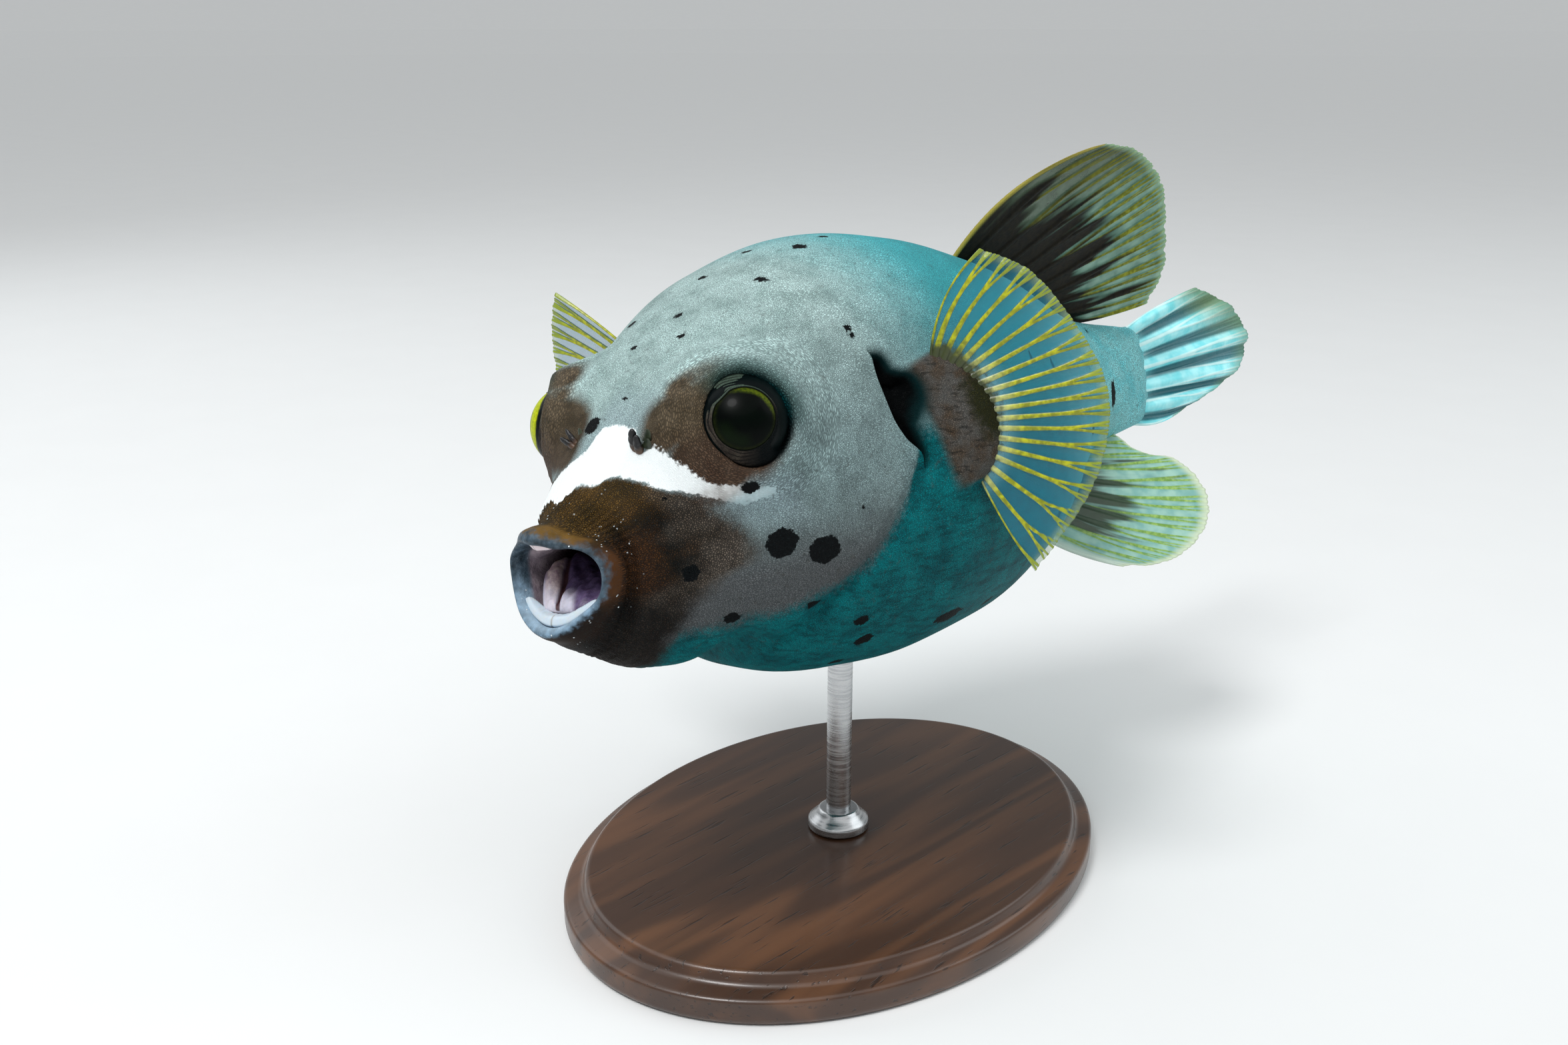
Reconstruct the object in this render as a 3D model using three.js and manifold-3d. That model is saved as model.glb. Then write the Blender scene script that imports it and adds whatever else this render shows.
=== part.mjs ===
// Blackspotted puffer (Arothron nigropunctatus): a still, life-size display model.
//
// Millimetres, +Z up. The origin is the centre of the stand base's underside, on the floor.
// The fish looks along -Y and its left side is towards +X. It hangs over the base on one rod,
// banked with its left side up and its nose a little down, as it swims.
//
// The fish itself is worked out in a frame of its own: x to its left, y back from the front
// of the lips, z up. One skin surface, made of rings round the body, is parted with thin
// cuts into lips, head, trunk and tail stalk. Fins, eyes and mouth parts are cut to fit it.

import * as THREE from 'three';
import { mergeVertices } from 'three/addons/utils/BufferGeometryUtils.js';
import Module from 'manifold-3d';

const wasm = await Module();
wasm.setup();

const { clamp, lerp, degToRad: degrees, smoothstep: fade } = THREE.MathUtils;

// ---------------------------------------------------------------- driving dimensions

const gap = 0.3; // clearance between any two touching pieces

// Outlines of the body, each a list of [back from the lips, height or half width].
const backLine = [[11, 13.5], [16, 18], [22, 24.5], [32, 34.5], [42, 41], [60, 49.7],
  [80, 53.5], [102, 50.5], [124, 44.2], [145, 36.5], [163, 27.5], [180, 19.5], [205, 14]];
const bellyLine = [[11, -21.2], [16, -24.3], [21, -25.8], [32, -28.6], [42, -32.6], [52, -37],
  [60, -39], [80, -41.7], [102, -41.5],
  [124, -38.3], [145, -32.8], [163, -24.2], [180, -16.3], [205, -13.5]];
const flankLine = [[11, 16], [16, 18.5], [22, 22], [32, 28.5], [42, 33.5], [60, 40.5],
  [80, 44.5], [102, 42], [124, 35.7], [145, 26.5], [163, 17.5], [180, 11], [205, 5]];
const widestLine = [[11, -1.2], [42, 2], [80, 0], [102, -2], [145, -1], [180, 1.5], [205, 0.5]];
const squareLine = [[11, 2], [32, 2.6], [42, 2.6], [80, 2.2], [145, 2.1], [205, 2]];

const headEnd = 56; // the cut between head and trunk
const trunkEnd = 176; // the cut between trunk and tail stalk
const stalkEnd = 205; // where the tail fin's rays start
const bodyAround = 40; // points round the body

// The tail swings to the fish's left behind this point, to this angle at the tail fin.
const bendStart = 150;
const tailSwing = degrees(13);

const mouth = {
  front: -2.4, // of the lips' middle, along the fish
  height: -0.8, // of the mouth's centre
  halfWidth: 13,
  above: 5.7, // from the centre up to the upper lip
  below: 9.9, // from the centre down to the lower lip
  lip: 3.5, // thickness of the lip roll
  lowerLipExtra: -0.4,
  cornerBack: 5.2, // how far the mouth's corners lie behind its middle
  depth: 24,
};

const eye = {
  centre: new THREE.Vector3(29, 31.8, 22.3), // middle of the left eye's rim
  axis: new THREE.Vector3(0.87, -0.42, 0.26).normalize(),
  radius: 9, // of the eyeball
  sunk: 3.4, // the eyeball's centre lies this far inside the rim
};
// Height of the skin round the eye, by distance from the eye's axis: level as far as the
// rim, then a low fold that fades into the head. The ball's socket is cut out of it.
const orbit = [[0, 0], [9, 0], [10.6, 0.1], [12, -0.1], [13.6, -0.7], [16.2, -1.8], [20, -3.6]];

const finThickness = 1.1;
const upward = new THREE.Vector3(0, 0, 1);

const stand = {
  halfLength: 74,
  halfWidth: 56,
  thickness: 10,
  bevel: 1.6,
  rodRadius: 3,
  collarRadius: 7.5,
  collarHeight: 5,
};

const pose = {
  bank: degrees(11.6), // left side up
  noseDown: degrees(1),
  balance: new THREE.Vector3(0, 87, 2), // point of the fish held over the base's centre
  height: 104, // of that point above the floor
};

// ---------------------------------------------------------------- small mathematics

/** Height of a smooth curve through the points of a line, with no overshoot between them. */
function along(line, x) {
  const last = line.length - 2;
  let k = 0;
  while (k < last && x > line[k + 1][0]) {
    k += 1;
  }
  const slope = (i) => (line[i + 1][1] - line[i][1]) / (line[i + 1][0] - line[i][0]);
  const tangent = (i) => {
    if (i === 0) return slope(0);
    if (i > last) return slope(last);
    const before = slope(i - 1);
    const after = slope(i);
    return before * after > 0 ? (2 * before * after) / (before + after) : 0;
  };
  const width = line[k + 1][0] - line[k][0];
  const t = clamp((x - line[k][0]) / width, 0, 1);
  const rise = (3 - 2 * t) * t * t;
  const leave = t * (1 - t) * (1 - t) * width * tangent(k);
  const arrive = t * t * (t - 1) * width * tangent(k + 1);
  return lerp(line[k][1], line[k + 1][1], rise) + leave + arrive;
}

/** Distance from the centre to an oval's edge, at an angle from straight up. */
function ovalRadius(angle, { above, below, halfWidth, square }) {
  const up = Math.cos(angle);
  const reach = up > 0 ? above : below;
  const power = up > 0 ? square : 2.1;
  const sum = Math.abs(up / reach) ** power + Math.abs(Math.sin(angle) / halfWidth) ** power;
  return sum ** (-1 / power);
}

/** Angles round the body, closer together at the height of the eyes. */
const ringAngles = Array.from({ length: bodyAround }, (_, i) => {
  const even = (2 * Math.PI * i) / bodyAround;
  return even + 0.2 * Math.sin(2 * even) - 0.35 * Math.sin(even);
});

/** Swings the stalk to the fish's left behind bendStart, in a steady curve. */
function bendTail(point) {
  const length = stalkEnd - bendStart;
  const past = clamp(point.y - bendStart, 0, length);
  const share = Math.tan(tailSwing) / (1 + Math.tan(tailSwing));
  const shift = (share * past * past) / length / 2;
  return point.set(point.x + shift, point.y - shift, point.z);
}

// ---------------------------------------------------------------- geometry from rings

/** One closed body from vertices and triangles, turned so that its faces point out. */
function closedBody(vertices, triangles) {
  let volume = 0;
  for (const [a, b, c] of triangles) {
    volume += vertices[a].dot(vertices[b].clone().cross(vertices[c]));
  }
  const index = triangles.flatMap(([a, b, c]) => (volume > 0 ? [a, b, c] : [a, c, b]));
  const geometry = new THREE.BufferGeometry().setFromPoints(vertices);
  geometry.setIndex(index);
  return geometry;
}

/** Closed surface through rings of points, with a fan at each end. */
function loft(rings) {
  const count = rings[0].length;
  const vertices = rings.flat();
  const triangles = [];
  for (let row = 0; row + 1 < rings.length; row += 1) {
    for (let i = 0; i < count; i += 1) {
      const a = row * count + i;
      const b = row * count + ((i + 1) % count);
      triangles.push([a, b, b + count], [a, b + count, a + count]);
    }
  }
  for (const row of [0, rings.length - 1]) {
    const middle = new THREE.Vector3();
    rings[row].forEach((point) => middle.addScaledVector(point, 1 / count));
    vertices.push(middle);
    for (let i = 0; i < count; i += 1) {
      const edge = [row * count + i, row * count + ((i + 1) % count)];
      triangles.push([vertices.length - 1, ...(row === 0 ? edge.reverse() : edge)]);
    }
  }
  return closedBody(vertices, triangles);
}

/** Thin closed blade on both sides of a surface given by u across the rays and v along them. */
function blade(surface, { across, out, thickness = finThickness }) {
  const step = 1e-3;
  const faces = (u, v) => {
    const here = surface(u, v);
    const acrossRay = surface(u + step, v).sub(surface(u - step, v));
    const alongRay = surface(u, v + step).sub(surface(u, v - step));
    const half = (thickness * lerp(1, 0.65, v)) / 2;
    const normal = acrossRay.cross(alongRay).setLength(half);
    return [here.clone().add(normal), here.clone().sub(normal)];
  };
  const rings = [];
  for (let row = 0; row <= out; row += 1) {
    const pairs = Array.from({ length: across + 1 }, (_, i) => faces(i / across, row / out));
    rings.push([...pairs.map((p) => p[0]), ...pairs.map((p) => p[1]).reverse()]);
  }
  return closedStrip(rings);
}

/** Loft whose end rings are flat strips, closed face to face and not with a fan. */
function closedStrip(rings) {
  const count = rings[0].length;
  const triangles = [];
  for (let row = 0; row + 1 < rings.length; row += 1) {
    for (let i = 0; i < count; i += 1) {
      const a = row * count + i;
      const b = row * count + ((i + 1) % count);
      triangles.push([a, b, b + count], [a, b + count, a + count]);
    }
  }
  for (const row of [0, rings.length - 1]) {
    for (let i = 0; i + 1 < count / 2; i += 1) {
      const quad = [i, i + 1, count - 2 - i, count - 1 - i].map((k) => row * count + k);
      const [a, b, c, d] = row === 0 ? quad.reverse() : quad;
      triangles.push([a, b, c], [a, c, d]);
    }
  }
  return closedBody(rings.flat(), triangles);
}

// ---------------------------------------------------------------- cutting and joining

function toSolid(geometry) {
  const bare = geometry.clone();
  bare.deleteAttribute('normal');
  bare.deleteAttribute('uv');
  const merged = mergeVertices(bare, 1e-5);
  const mesh = new wasm.Mesh({
    numProp: 3,
    vertProperties: new Float32Array(merged.attributes.position.array),
    triVerts: new Uint32Array(merged.index.array),
  });
  return new wasm.Manifold(mesh);
}

function toGeometry(solid) {
  const { vertProperties, triVerts } = solid.getMesh();
  const geometry = new THREE.BufferGeometry();
  geometry.setAttribute('position', new THREE.BufferAttribute(vertProperties, 3));
  geometry.setIndex(new THREE.BufferAttribute(triVerts, 1));
  return geometry;
}

/** The geometry with each of the tools taken out of it. */
function cutBy(geometry, ...tools) {
  let solid = toSolid(geometry);
  for (const tool of tools) {
    solid = solid.subtract(toSolid(tool));
  }
  return toGeometry(solid);
}

function joined(first, second) {
  return toGeometry(toSolid(first).add(toSolid(second)));
}

function ball(centre, radius, detail) {
  const geometry = new THREE.SphereGeometry(radius, 2 * detail, detail);
  return geometry.translate(centre.x, centre.y, centre.z);
}

// ---------------------------------------------------------------- the skin

/** Raises the skin round both eyes to the orbit's own profile. */
function raiseOrbits(point) {
  for (const side of [1, -1]) {
    const mirror = new THREE.Vector3(side, 1, 1);
    const axis = eye.axis.clone().multiply(mirror);
    const offset = point.clone().sub(eye.centre.clone().multiply(mirror));
    const height = offset.dot(axis);
    const away = offset.addScaledVector(axis, -height).length();
    if (height > -14) {
      const share = 1 - fade(away, 10.5, 19);
      point.addScaledVector(axis, (along(orbit, away) - height) * share);
    }
  }
  return point;
}

/** One ring of skin round the body, at a distance back from the lips. */
function bodyRing(back, swell = 0) {
  const widest = along(widestLine, back);
  const oval = {
    above: along(backLine, back) - widest + swell,
    below: widest - along(bellyLine, back) + swell,
    halfWidth: along(flankLine, back) + swell,
    square: along(squareLine, back),
  };
  return ringAngles.map((angle) => {
    const r = ovalRadius(angle, oval);
    const point = new THREE.Vector3(r * Math.sin(angle), back, widest + r * Math.cos(angle));
    return bendTail(raiseOrbits(point));
  });
}

function bodyRings(from, to, count, swell) {
  return Array.from({ length: count }, (_, i) => {
    return bodyRing(lerp(from, to, i / (count - 1)), swell);
  });
}

/** Everything that a fin or a rod must stay clear of: the trunk and stalk, grown by the gap. */
const grownBody = loft(bodyRings(headEnd - 6, stalkEnd + gap, 32, 1.4 * gap));

// ---------------------------------------------------------------- mouth and head

const mouthOval = { ...mouth, square: 2.3 };
const mouthSide = (angle) => Math.sin(angle) ** 2;
const lipThickness = (angle) => {
  return mouth.lip + mouth.lowerLipExtra * Math.max(0, -Math.cos(angle)) - mouthSide(angle);
};
/** Where the lips' back meets the head. */
const lipSeat = (angle) => mouth.front + 6.4 + 0.7 * mouth.cornerBack * mouthSide(angle);

function mouthPoint(angle, radius, back, height = mouth.height) {
  return new THREE.Vector3(radius * Math.sin(angle), back, height + radius * Math.cos(angle));
}

/** Ring in the mouth, at a share of the opening's size. */
function cavityRing(share, back, height) {
  return ringAngles.map((angle) => {
    const lean = back < 20 ? 0.3 * mouth.cornerBack * mouthSide(angle) : 0;
    return mouthPoint(angle, share * ovalRadius(angle, mouthOval), back + lean, height);
  });
}

function headGeometry() {
  const seat = (share) => {
    return ringAngles.map((angle) => {
      const radius = ovalRadius(angle, mouthOval) * 0.98 + share * (lipThickness(angle) - gap);
      return mouthPoint(angle, radius, lipSeat(angle) + gap / 2);
    });
  };
  const rings = [
    cavityRing(0.45, mouth.depth, -2.4),
    cavityRing(0.8, 18, -1.9),
    cavityRing(0.93, 11, -1.2),
    seat(0),
    seat(1),
    ...bodyRings(11, 49, 12),
    bodyRing(headEnd - gap / 2),
  ];
  const sockets = [1, -1].map((side) => ball(eyeballCentre(side), eye.radius + 1.5 * gap, 8));
  return cutBy(loft(rings), ...sockets);
}

/** A lip: half of a ring whose section is a half oval, rolled forward from its seat. */
function lipGeometry(middleAngle) {
  const steps = 16;
  const corner = Math.asin(gap / 2 / mouth.halfWidth);
  const reach = Math.PI / 2 - corner;
  const rings = Array.from({ length: steps + 1 }, (_, i) => {
    const angle = middleAngle + lerp(-reach, reach, i / steps);
    const inner = ovalRadius(angle, mouthOval);
    const front = mouth.front + 4 + mouth.cornerBack * mouthSide(angle);
    const section = Array.from({ length: 7 }, (_, k) => {
      const turn = (Math.PI * k) / 6;
      const radius = inner + lipThickness(angle) * (0.5 - 0.5 * Math.cos(turn));
      return mouthPoint(angle, radius, front - 3.7 * Math.sin(turn));
    });
    const seat = lipSeat(angle) - gap / 2;
    const heel = mouthPoint(angle, inner + lipThickness(angle), seat);
    const toe = mouthPoint(angle, inner, seat);
    return [...section, heel, toe];
  });
  return loft(rings);
}

function eyeballCentre(side) {
  return eye.centre.clone().addScaledVector(eye.axis, -eye.sunk).multiply(
    new THREE.Vector3(side, 1, 1),
  );
}

/** Beak plate: a crescent of tooth just inside a lip, highest in the middle. */
function beakGeometry(middleAngle, { reach, height, thickness }) {
  const steps = 12;
  const rings = Array.from({ length: steps + 1 }, (_, i) => {
    const t = lerp(-1, 1, i / steps);
    const angle = middleAngle + t * reach;
    const outer = ovalRadius(angle, mouthOval) * 0.9 - gap;
    const tall = height * (1 - 0.75 * t * t);
    const front = mouth.front + 6.3 + 0.5 * mouth.cornerBack * mouthSide(angle);
    return [
      mouthPoint(angle, outer, front + 4.6),
      mouthPoint(angle, outer, front + 0.6),
      mouthPoint(angle, outer - 0.55 * tall, front),
      mouthPoint(angle, outer - tall, front + 0.8),
      mouthPoint(angle, outer - 0.7 * tall, front + 0.9 + thickness),
      mouthPoint(angle, outer - 0.4, front + 4.6),
    ];
  });
  return loft(rings);
}

function tongueGeometry() {
  const rings = [8, 10.5, 14, 18, 20.5].map((back, row) => {
    const size = [0.35, 0.85, 1, 0.9, 0.45][row];
    return Array.from({ length: 16 }, (_, i) => {
      const angle = (2 * Math.PI * i) / 16;
      const x = 6 * size * Math.sin(angle) - 1;
      return new THREE.Vector3(x, back, -6.8 + 1.8 * size * Math.cos(angle));
    });
  });
  return loft(rings);
}

/** Nostril: two short fingers from one root, on the snout. */
function nostrilGeometry(side) {
  const root = new THREE.Vector3(9 * side, 21, 19.5);
  const finger = (lean, length) => {
    const rings = [0, 0.35, 0.75, 1].map((share, row) => {
      const radius = [2.4, 1.9, 1.2, 0.5][row];
      return Array.from({ length: 8 }, (_, i) => {
        const turn = (2 * Math.PI * i) / 8;
        const rise = new THREE.Vector3(0.35 * side + lean * side, -0.5 - 0.5 * lean, 0.8);
        const flat = new THREE.Vector3(radius * Math.cos(turn), radius * Math.sin(turn), 0);
        return root.clone().addScaledVector(rise.normalize(), length * share).add(flat);
      });
    });
    return loft(rings);
  };
  const both = joined(finger(-0.45, 6.4), finger(0.5, 5.4));
  const grownHead = loft(bodyRings(11, 49, 12, 1.5 * gap));
  return cutBy(both, grownHead);
}

// ---------------------------------------------------------------- fins

/** Quadratic curve from base through its control to tip. */
function rayPoint(base, bow, tip, v) {
  return base.clone().multiplyScalar((1 - v) * (1 - v))
    .addScaledVector(bow, 2 * v * (1 - v))
    .addScaledVector(tip, v * v);
}

/**
 * A fin whose outline is drawn in its own plane, as [along the base, out from it]: where the
 * rays start, what bows them, and where they end. The middle cups towards the front vector.
 */
function planeFin({ root, along: down, out, starts, bows, ends, cup, front }) {
  const curves = [starts, bows, ends].map((points) => {
    return new THREE.SplineCurve(points.map(([x, y]) => new THREE.Vector2(x, y)));
  });
  return (u, v) => {
    const spots = curves.map((curve) => {
      const flat = curve.getPoint(clamp(u, 0, 1));
      return root.clone().addScaledVector(down, flat.x).addScaledVector(out, flat.y);
    });
    return rayPoint(...spots, v).addScaledVector(front, cup * Math.sin(Math.PI * u) * v);
  };
}

/** A middle fin: its base slopes with the body's outline and its plane leans to the left. */
function middleFin({ root, baseSlope, lean, ...outline }) {
  const back = new THREE.Vector3(0, Math.cos(baseSlope), Math.sin(baseSlope));
  const up = new THREE.Vector3(0, -Math.sin(baseSlope), Math.cos(baseSlope));
  up.applyAxisAngle(back, lean);
  return planeFin({ root, along: back, out: up, front: up.clone().cross(back), ...outline });
}

const dorsal = middleFin({
  root: new THREE.Vector3(0, 146, 33.5),
  baseSlope: degrees(-25.7),
  lean: degrees(43),
  starts: [[-13, -3], [-2, -3], [8, -3], [17, -3], [24, -3]],
  bows: [[-20.5, 27.2], [-4, 25], [9, 22.5], [20, 19], [29, 14], [36, 8], [41, 0]],
  ends: [[1, 44.9], [12, 48], [23, 47.2], [33.5, 43.6], [44.5, 35.8], [54.5, 27], [58, 17]],
  cup: 2,
});

const anal = middleFin({
  root: new THREE.Vector3(0, 152, -27.5),
  baseSlope: degrees(29.2),
  lean: degrees(180 - 50),
  starts: [[-2, -3], [5, -3], [12, -3], [19, -3], [23, -3]],
  bows: [[-6, 12], [3, 17], [12, 18], [22, 15.5], [31, 10], [34, 2]],
  ends: [[1, 28], [8.5, 36.4], [18, 40.8], [29, 41.3], [38, 36.5], [42, 26.5], [38, 17.2],
    [38.5, 8.5]],
  cup: -2,
});

/** The tail fin, nearly shut: its rays lie in deep lengthwise folds. */
function caudal(u, v) {
  const rootTop = 12.5;
  const rootBottom = -13;
  const tips = new THREE.SplineCurve([[30, 20], [40, 15.5], [48, 8], [49, 0.5], [43, -6.5],
    [31, -10.5], [16, -14]].map(([x, y]) => new THREE.Vector2(x, y)));
  const bows = new THREE.SplineCurve([[14, 18], [20, 9], [22, 0.5], [18, -8], [9, -16]]
    .map(([x, y]) => new THREE.Vector2(x, y)));
  const start = new THREE.Vector3(0, stalkEnd - 2, lerp(rootTop, rootBottom, u));
  const place = (flat) => new THREE.Vector3(0, stalkEnd + flat.x, flat.y);
  const flatU = clamp(u, 0, 1);
  const point = rayPoint(start, place(bows.getPoint(flatU)), place(tips.getPoint(flatU)), v);
  point.x += 1.5 * Math.sin(5.2 * 2 * Math.PI * u) * fade(v, 0.05, 0.5) * lerp(1, 0.6, v);
  const hinge = new THREE.Vector3(0, stalkEnd, 0);
  return point.sub(hinge).applyAxisAngle(upward, -tailSwing).add(bendTail(hinge));
}

/**
 * A pectoral fin, in the plane of its sloping base and its splay, the direction from the
 * tail in which it stands out. Its outline is drawn as [down along the base, out from it].
 */
function pectoral({ side, splay, starts, bows, ends, cup }) {
  const top = new THREE.Vector3(40.5 * side, 72.5, 25.5);
  const bottom = new THREE.Vector3(42.9 * side, 77.2, 1);
  const down = bottom.clone().sub(top).normalize();
  const out = new THREE.Vector3(Math.sin(splay) * side, Math.cos(splay), 0);
  out.addScaledVector(down, -out.dot(down)).normalize();
  const front = out.clone().cross(down).multiplyScalar(side);
  const surface = planeFin({ root: top, along: down, out, starts, bows, ends, cup, front });
  return { surface, top, bottom, out, front };
}

/** The fleshy root that carries a pectoral fin's rays. */
function pectoralRoot({ top, bottom, out, front }, swell) {
  const steps = 8;
  const rings = Array.from({ length: steps + 1 }, (_, i) => {
    const t = lerp(0.03, 0.97, i / steps);
    const size = Math.sin(Math.PI * t) ** 0.5;
    const middle = top.clone().lerp(bottom, lerp(-0.07, 1.09, t));
    return Array.from({ length: 14 }, (_, k) => {
      const turn = (2 * Math.PI * k) / 14;
      return middle.clone()
        .addScaledVector(out, (7.2 * size + swell) * Math.cos(turn))
        .addScaledVector(front, (5.6 * size + swell) * Math.sin(turn));
    });
  });
  return loft(rings);
}

const pectoralStarts = [[-0.2, 1], [3, 2.6], [7, 3], [12, 3], [17, 3], [21, 2.6], [24.5, 1.2]];

const pectoralLeft = pectoral({
  side: 1,
  splay: degrees(47),
  starts: pectoralStarts,
  bows: [[-12, 5.5], [-5.2, 13.2], [4.2, 18], [13.4, 19.6], [21.4, 18], [29.6, 12.8], [37.2, 3]],
  ends: [[-17.2, 16.9], [-9.8, 24.8], [2.4, 29.6], [14.7, 31.9], [25.4, 29.7], [37.4, 22],
    [49.7, 6.6]],
  cup: -2.5,
});

const pectoralRight = pectoral({
  side: -1,
  splay: degrees(100),
  starts: pectoralStarts,
  bows: [[-12, 11], [-7, 16.5], [2.5, 19], [12.5, 19], [21, 16.5], [29.5, 11.5], [36, 4.5]],
  ends: [[-22.4, 25.5], [-13.5, 28.8], [-0.5, 30.6], [13.8, 29.6], [26, 26], [37, 19], [47, 9]],
  cup: -2.5,
});

// ---------------------------------------------------------------- the named meshes

const finish = (colour, roughness, metalness = 0) => {
  return new THREE.MeshStandardMaterial({ color: colour, roughness, metalness });
};
const skin = finish('#b9bcb4', 0.6);
const muzzleSkin = finish('#6d5442', 0.55);
const lipSkin = finish('#8f9aa6', 0.5);
const finSkin = finish('#c9cf8d', 0.45);
const tailSkin = finish('#dfe6e0', 0.45);
const darkSkin = finish('#2a2321', 0.6);
const cornea = finish('#2c3a1c', 0.1);
const beak = finish('#efe6cf', 0.35);
const tongueSkin = finish('#9d6f7c', 0.45);
const wood = finish('#4a3020', 0.5);
const steel = finish('#b4b6b8', 0.3, 1);

function named(name, geometry, material) {
  const mesh = new THREE.Mesh(geometry, material);
  mesh.name = name;
  return mesh;
}

const fish = new THREE.Group();
fish.add(named('head', headGeometry(), skin));
fish.add(named('upper_lip', lipGeometry(0), lipSkin));
fish.add(named('lower_lip', lipGeometry(Math.PI), lipSkin));
fish.add(named('upper_beak', beakGeometry(0, {
  reach: 0.9,
  height: 1.8,
  thickness: 1,
}), beak));
fish.add(named('lower_beak', beakGeometry(Math.PI, {
  reach: 1.15,
  height: 3.4,
  thickness: 1.1,
}), beak));
fish.add(named('tongue', tongueGeometry(), tongueSkin));
fish.add(named('trunk', loft(bodyRings(headEnd + gap / 2, trunkEnd - gap / 2, 18)), skin));
fish.add(named('tail_stalk', loft(bodyRings(trunkEnd + gap / 2, stalkEnd, 5)), tailSkin));

for (const [word, side] of [['left', 1], ['right', -1]]) {
  fish.add(named(`eye_${word}`, ball(eyeballCentre(side), eye.radius, 8), cornea));
  fish.add(named(`nostril_${word}`, nostrilGeometry(side), darkSkin));
}

for (const [word, fin] of [['left', pectoralLeft], ['right', pectoralRight]]) {
  const root = cutBy(pectoralRoot(fin, 0), grownBody);
  const rays = cutBy(blade(fin.surface, { across: 14, out: 5 }), pectoralRoot(fin, gap), grownBody);
  fish.add(named(`pectoral_base_${word}`, root, muzzleSkin));
  fish.add(named(`pectoral_fin_${word}`, rays, finSkin));
}

fish.add(named('dorsal_fin', cutBy(blade(dorsal, { across: 12, out: 6 }), grownBody), finSkin));
fish.add(named('anal_fin', cutBy(blade(anal, { across: 10, out: 6 }), grownBody), finSkin));
fish.add(named('caudal_fin', cutBy(blade(caudal, { across: 27, out: 4 }), grownBody), tailSkin));

fish.rotation.set(pose.noseDown, -pose.bank, 0);
const hung = pose.balance.clone().applyEuler(fish.rotation);
fish.position.set(-hung.x, -hung.y, pose.height - hung.z);
fish.updateMatrixWorld(true);

// ---------------------------------------------------------------- the display stand

function ovalShape(halfWidth, halfLength) {
  const shape = new THREE.Shape();
  shape.absellipse(0, 0, halfWidth, halfLength, 0, 2 * Math.PI);
  return shape;
}

function standBaseGeometry() {
  const geometry = new THREE.ExtrudeGeometry(
    ovalShape(stand.halfWidth - stand.bevel, stand.halfLength - stand.bevel),
    {
      depth: stand.thickness - 2 * stand.bevel,
      bevelThickness: stand.bevel,
      bevelSize: stand.bevel,
      bevelSegments: 2,
      curveSegments: 24,
    },
  );
  return geometry.translate(0, 0, stand.bevel);
}

/** A turned collar on the base, with the rod's hole through it. */
function standCollarGeometry() {
  const { collarRadius, collarHeight, rodRadius } = stand;
  const hole = rodRadius + gap;
  const profile = [
    [hole, 0],
    [collarRadius, 0],
    [collarRadius, 0.4 * collarHeight],
    [0.75 * collarRadius, 0.75 * collarHeight],
    [0.62 * collarRadius, collarHeight],
    [hole, collarHeight],
    [hole, 0],
  ].map(([x, y]) => new THREE.Vector2(x, y));
  const geometry = new THREE.LatheGeometry(profile, 20);
  return geometry.rotateX(Math.PI / 2).translate(0, 0, stand.thickness + gap);
}

/** The rod rises to the belly, and its top is shaped to it. */
function standRodGeometry() {
  const top = pose.height - 20;
  const bottom = stand.thickness + gap;
  const rod = new THREE.CylinderGeometry(stand.rodRadius, stand.rodRadius, top - bottom, 20);
  rod.rotateX(Math.PI / 2).translate(0, 0, (top + bottom) / 2);
  const body = loft(bodyRings(60, 110, 20, gap)).applyMatrix4(fish.matrixWorld);
  return cutBy(rod, body);
}

const model = new THREE.Group();
model.add(fish);
model.add(named('stand_base', standBaseGeometry(), wood));
model.add(named('stand_collar', standCollarGeometry(), steel));
model.add(named('stand_rod', standRodGeometry(), steel));

export default model;
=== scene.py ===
# %% [markdown]
# # A blackspotted puffer on its display stand
#
# This lesson finishes a life-size museum model of *Arothron nigropunctatus*. The solid
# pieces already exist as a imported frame: here each one gets the surface that a visitor
# would see. The skin, the fins, the eyes and the stand are new meshes, each worked out as
# a formula of two numbers, and every finish is mixed from nodes.

import math

import bpy
import numpy as np
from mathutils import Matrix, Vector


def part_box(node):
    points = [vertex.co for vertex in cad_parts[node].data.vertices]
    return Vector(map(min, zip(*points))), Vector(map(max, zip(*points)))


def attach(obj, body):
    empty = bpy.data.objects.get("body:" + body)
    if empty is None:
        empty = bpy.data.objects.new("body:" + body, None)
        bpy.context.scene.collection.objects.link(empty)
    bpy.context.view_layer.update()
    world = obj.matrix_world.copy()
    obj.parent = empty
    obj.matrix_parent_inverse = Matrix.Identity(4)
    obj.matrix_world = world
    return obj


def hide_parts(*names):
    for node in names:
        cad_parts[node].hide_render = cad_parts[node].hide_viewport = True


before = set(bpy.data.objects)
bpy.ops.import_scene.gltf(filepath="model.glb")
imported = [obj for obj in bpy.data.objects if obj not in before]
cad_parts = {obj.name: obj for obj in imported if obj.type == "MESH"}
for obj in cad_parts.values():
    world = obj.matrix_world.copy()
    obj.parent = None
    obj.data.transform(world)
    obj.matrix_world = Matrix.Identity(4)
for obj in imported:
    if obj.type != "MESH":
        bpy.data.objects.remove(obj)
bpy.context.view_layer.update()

# %% [markdown]
# ## The fish's own frame
#
# A banked body is awkward to draw. So all flesh is drawn level, in millimetres: x to the
# fish's left, y back from its lips, z up. One turn and one shift then put it on the rod.
# This could be an empty with children, but finished objects must sit at the origin, so the
# turn goes into the vertices.

# %% From the fish's millimetres to metres on the stand
BANK = math.radians(11.6)  # left side up
NOSE_DOWN = math.radians(1)
BALANCE = np.array([0, 87, 2])  # the point held over the middle of the base
HANG_HEIGHT = 104  # of that point over the floor

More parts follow.
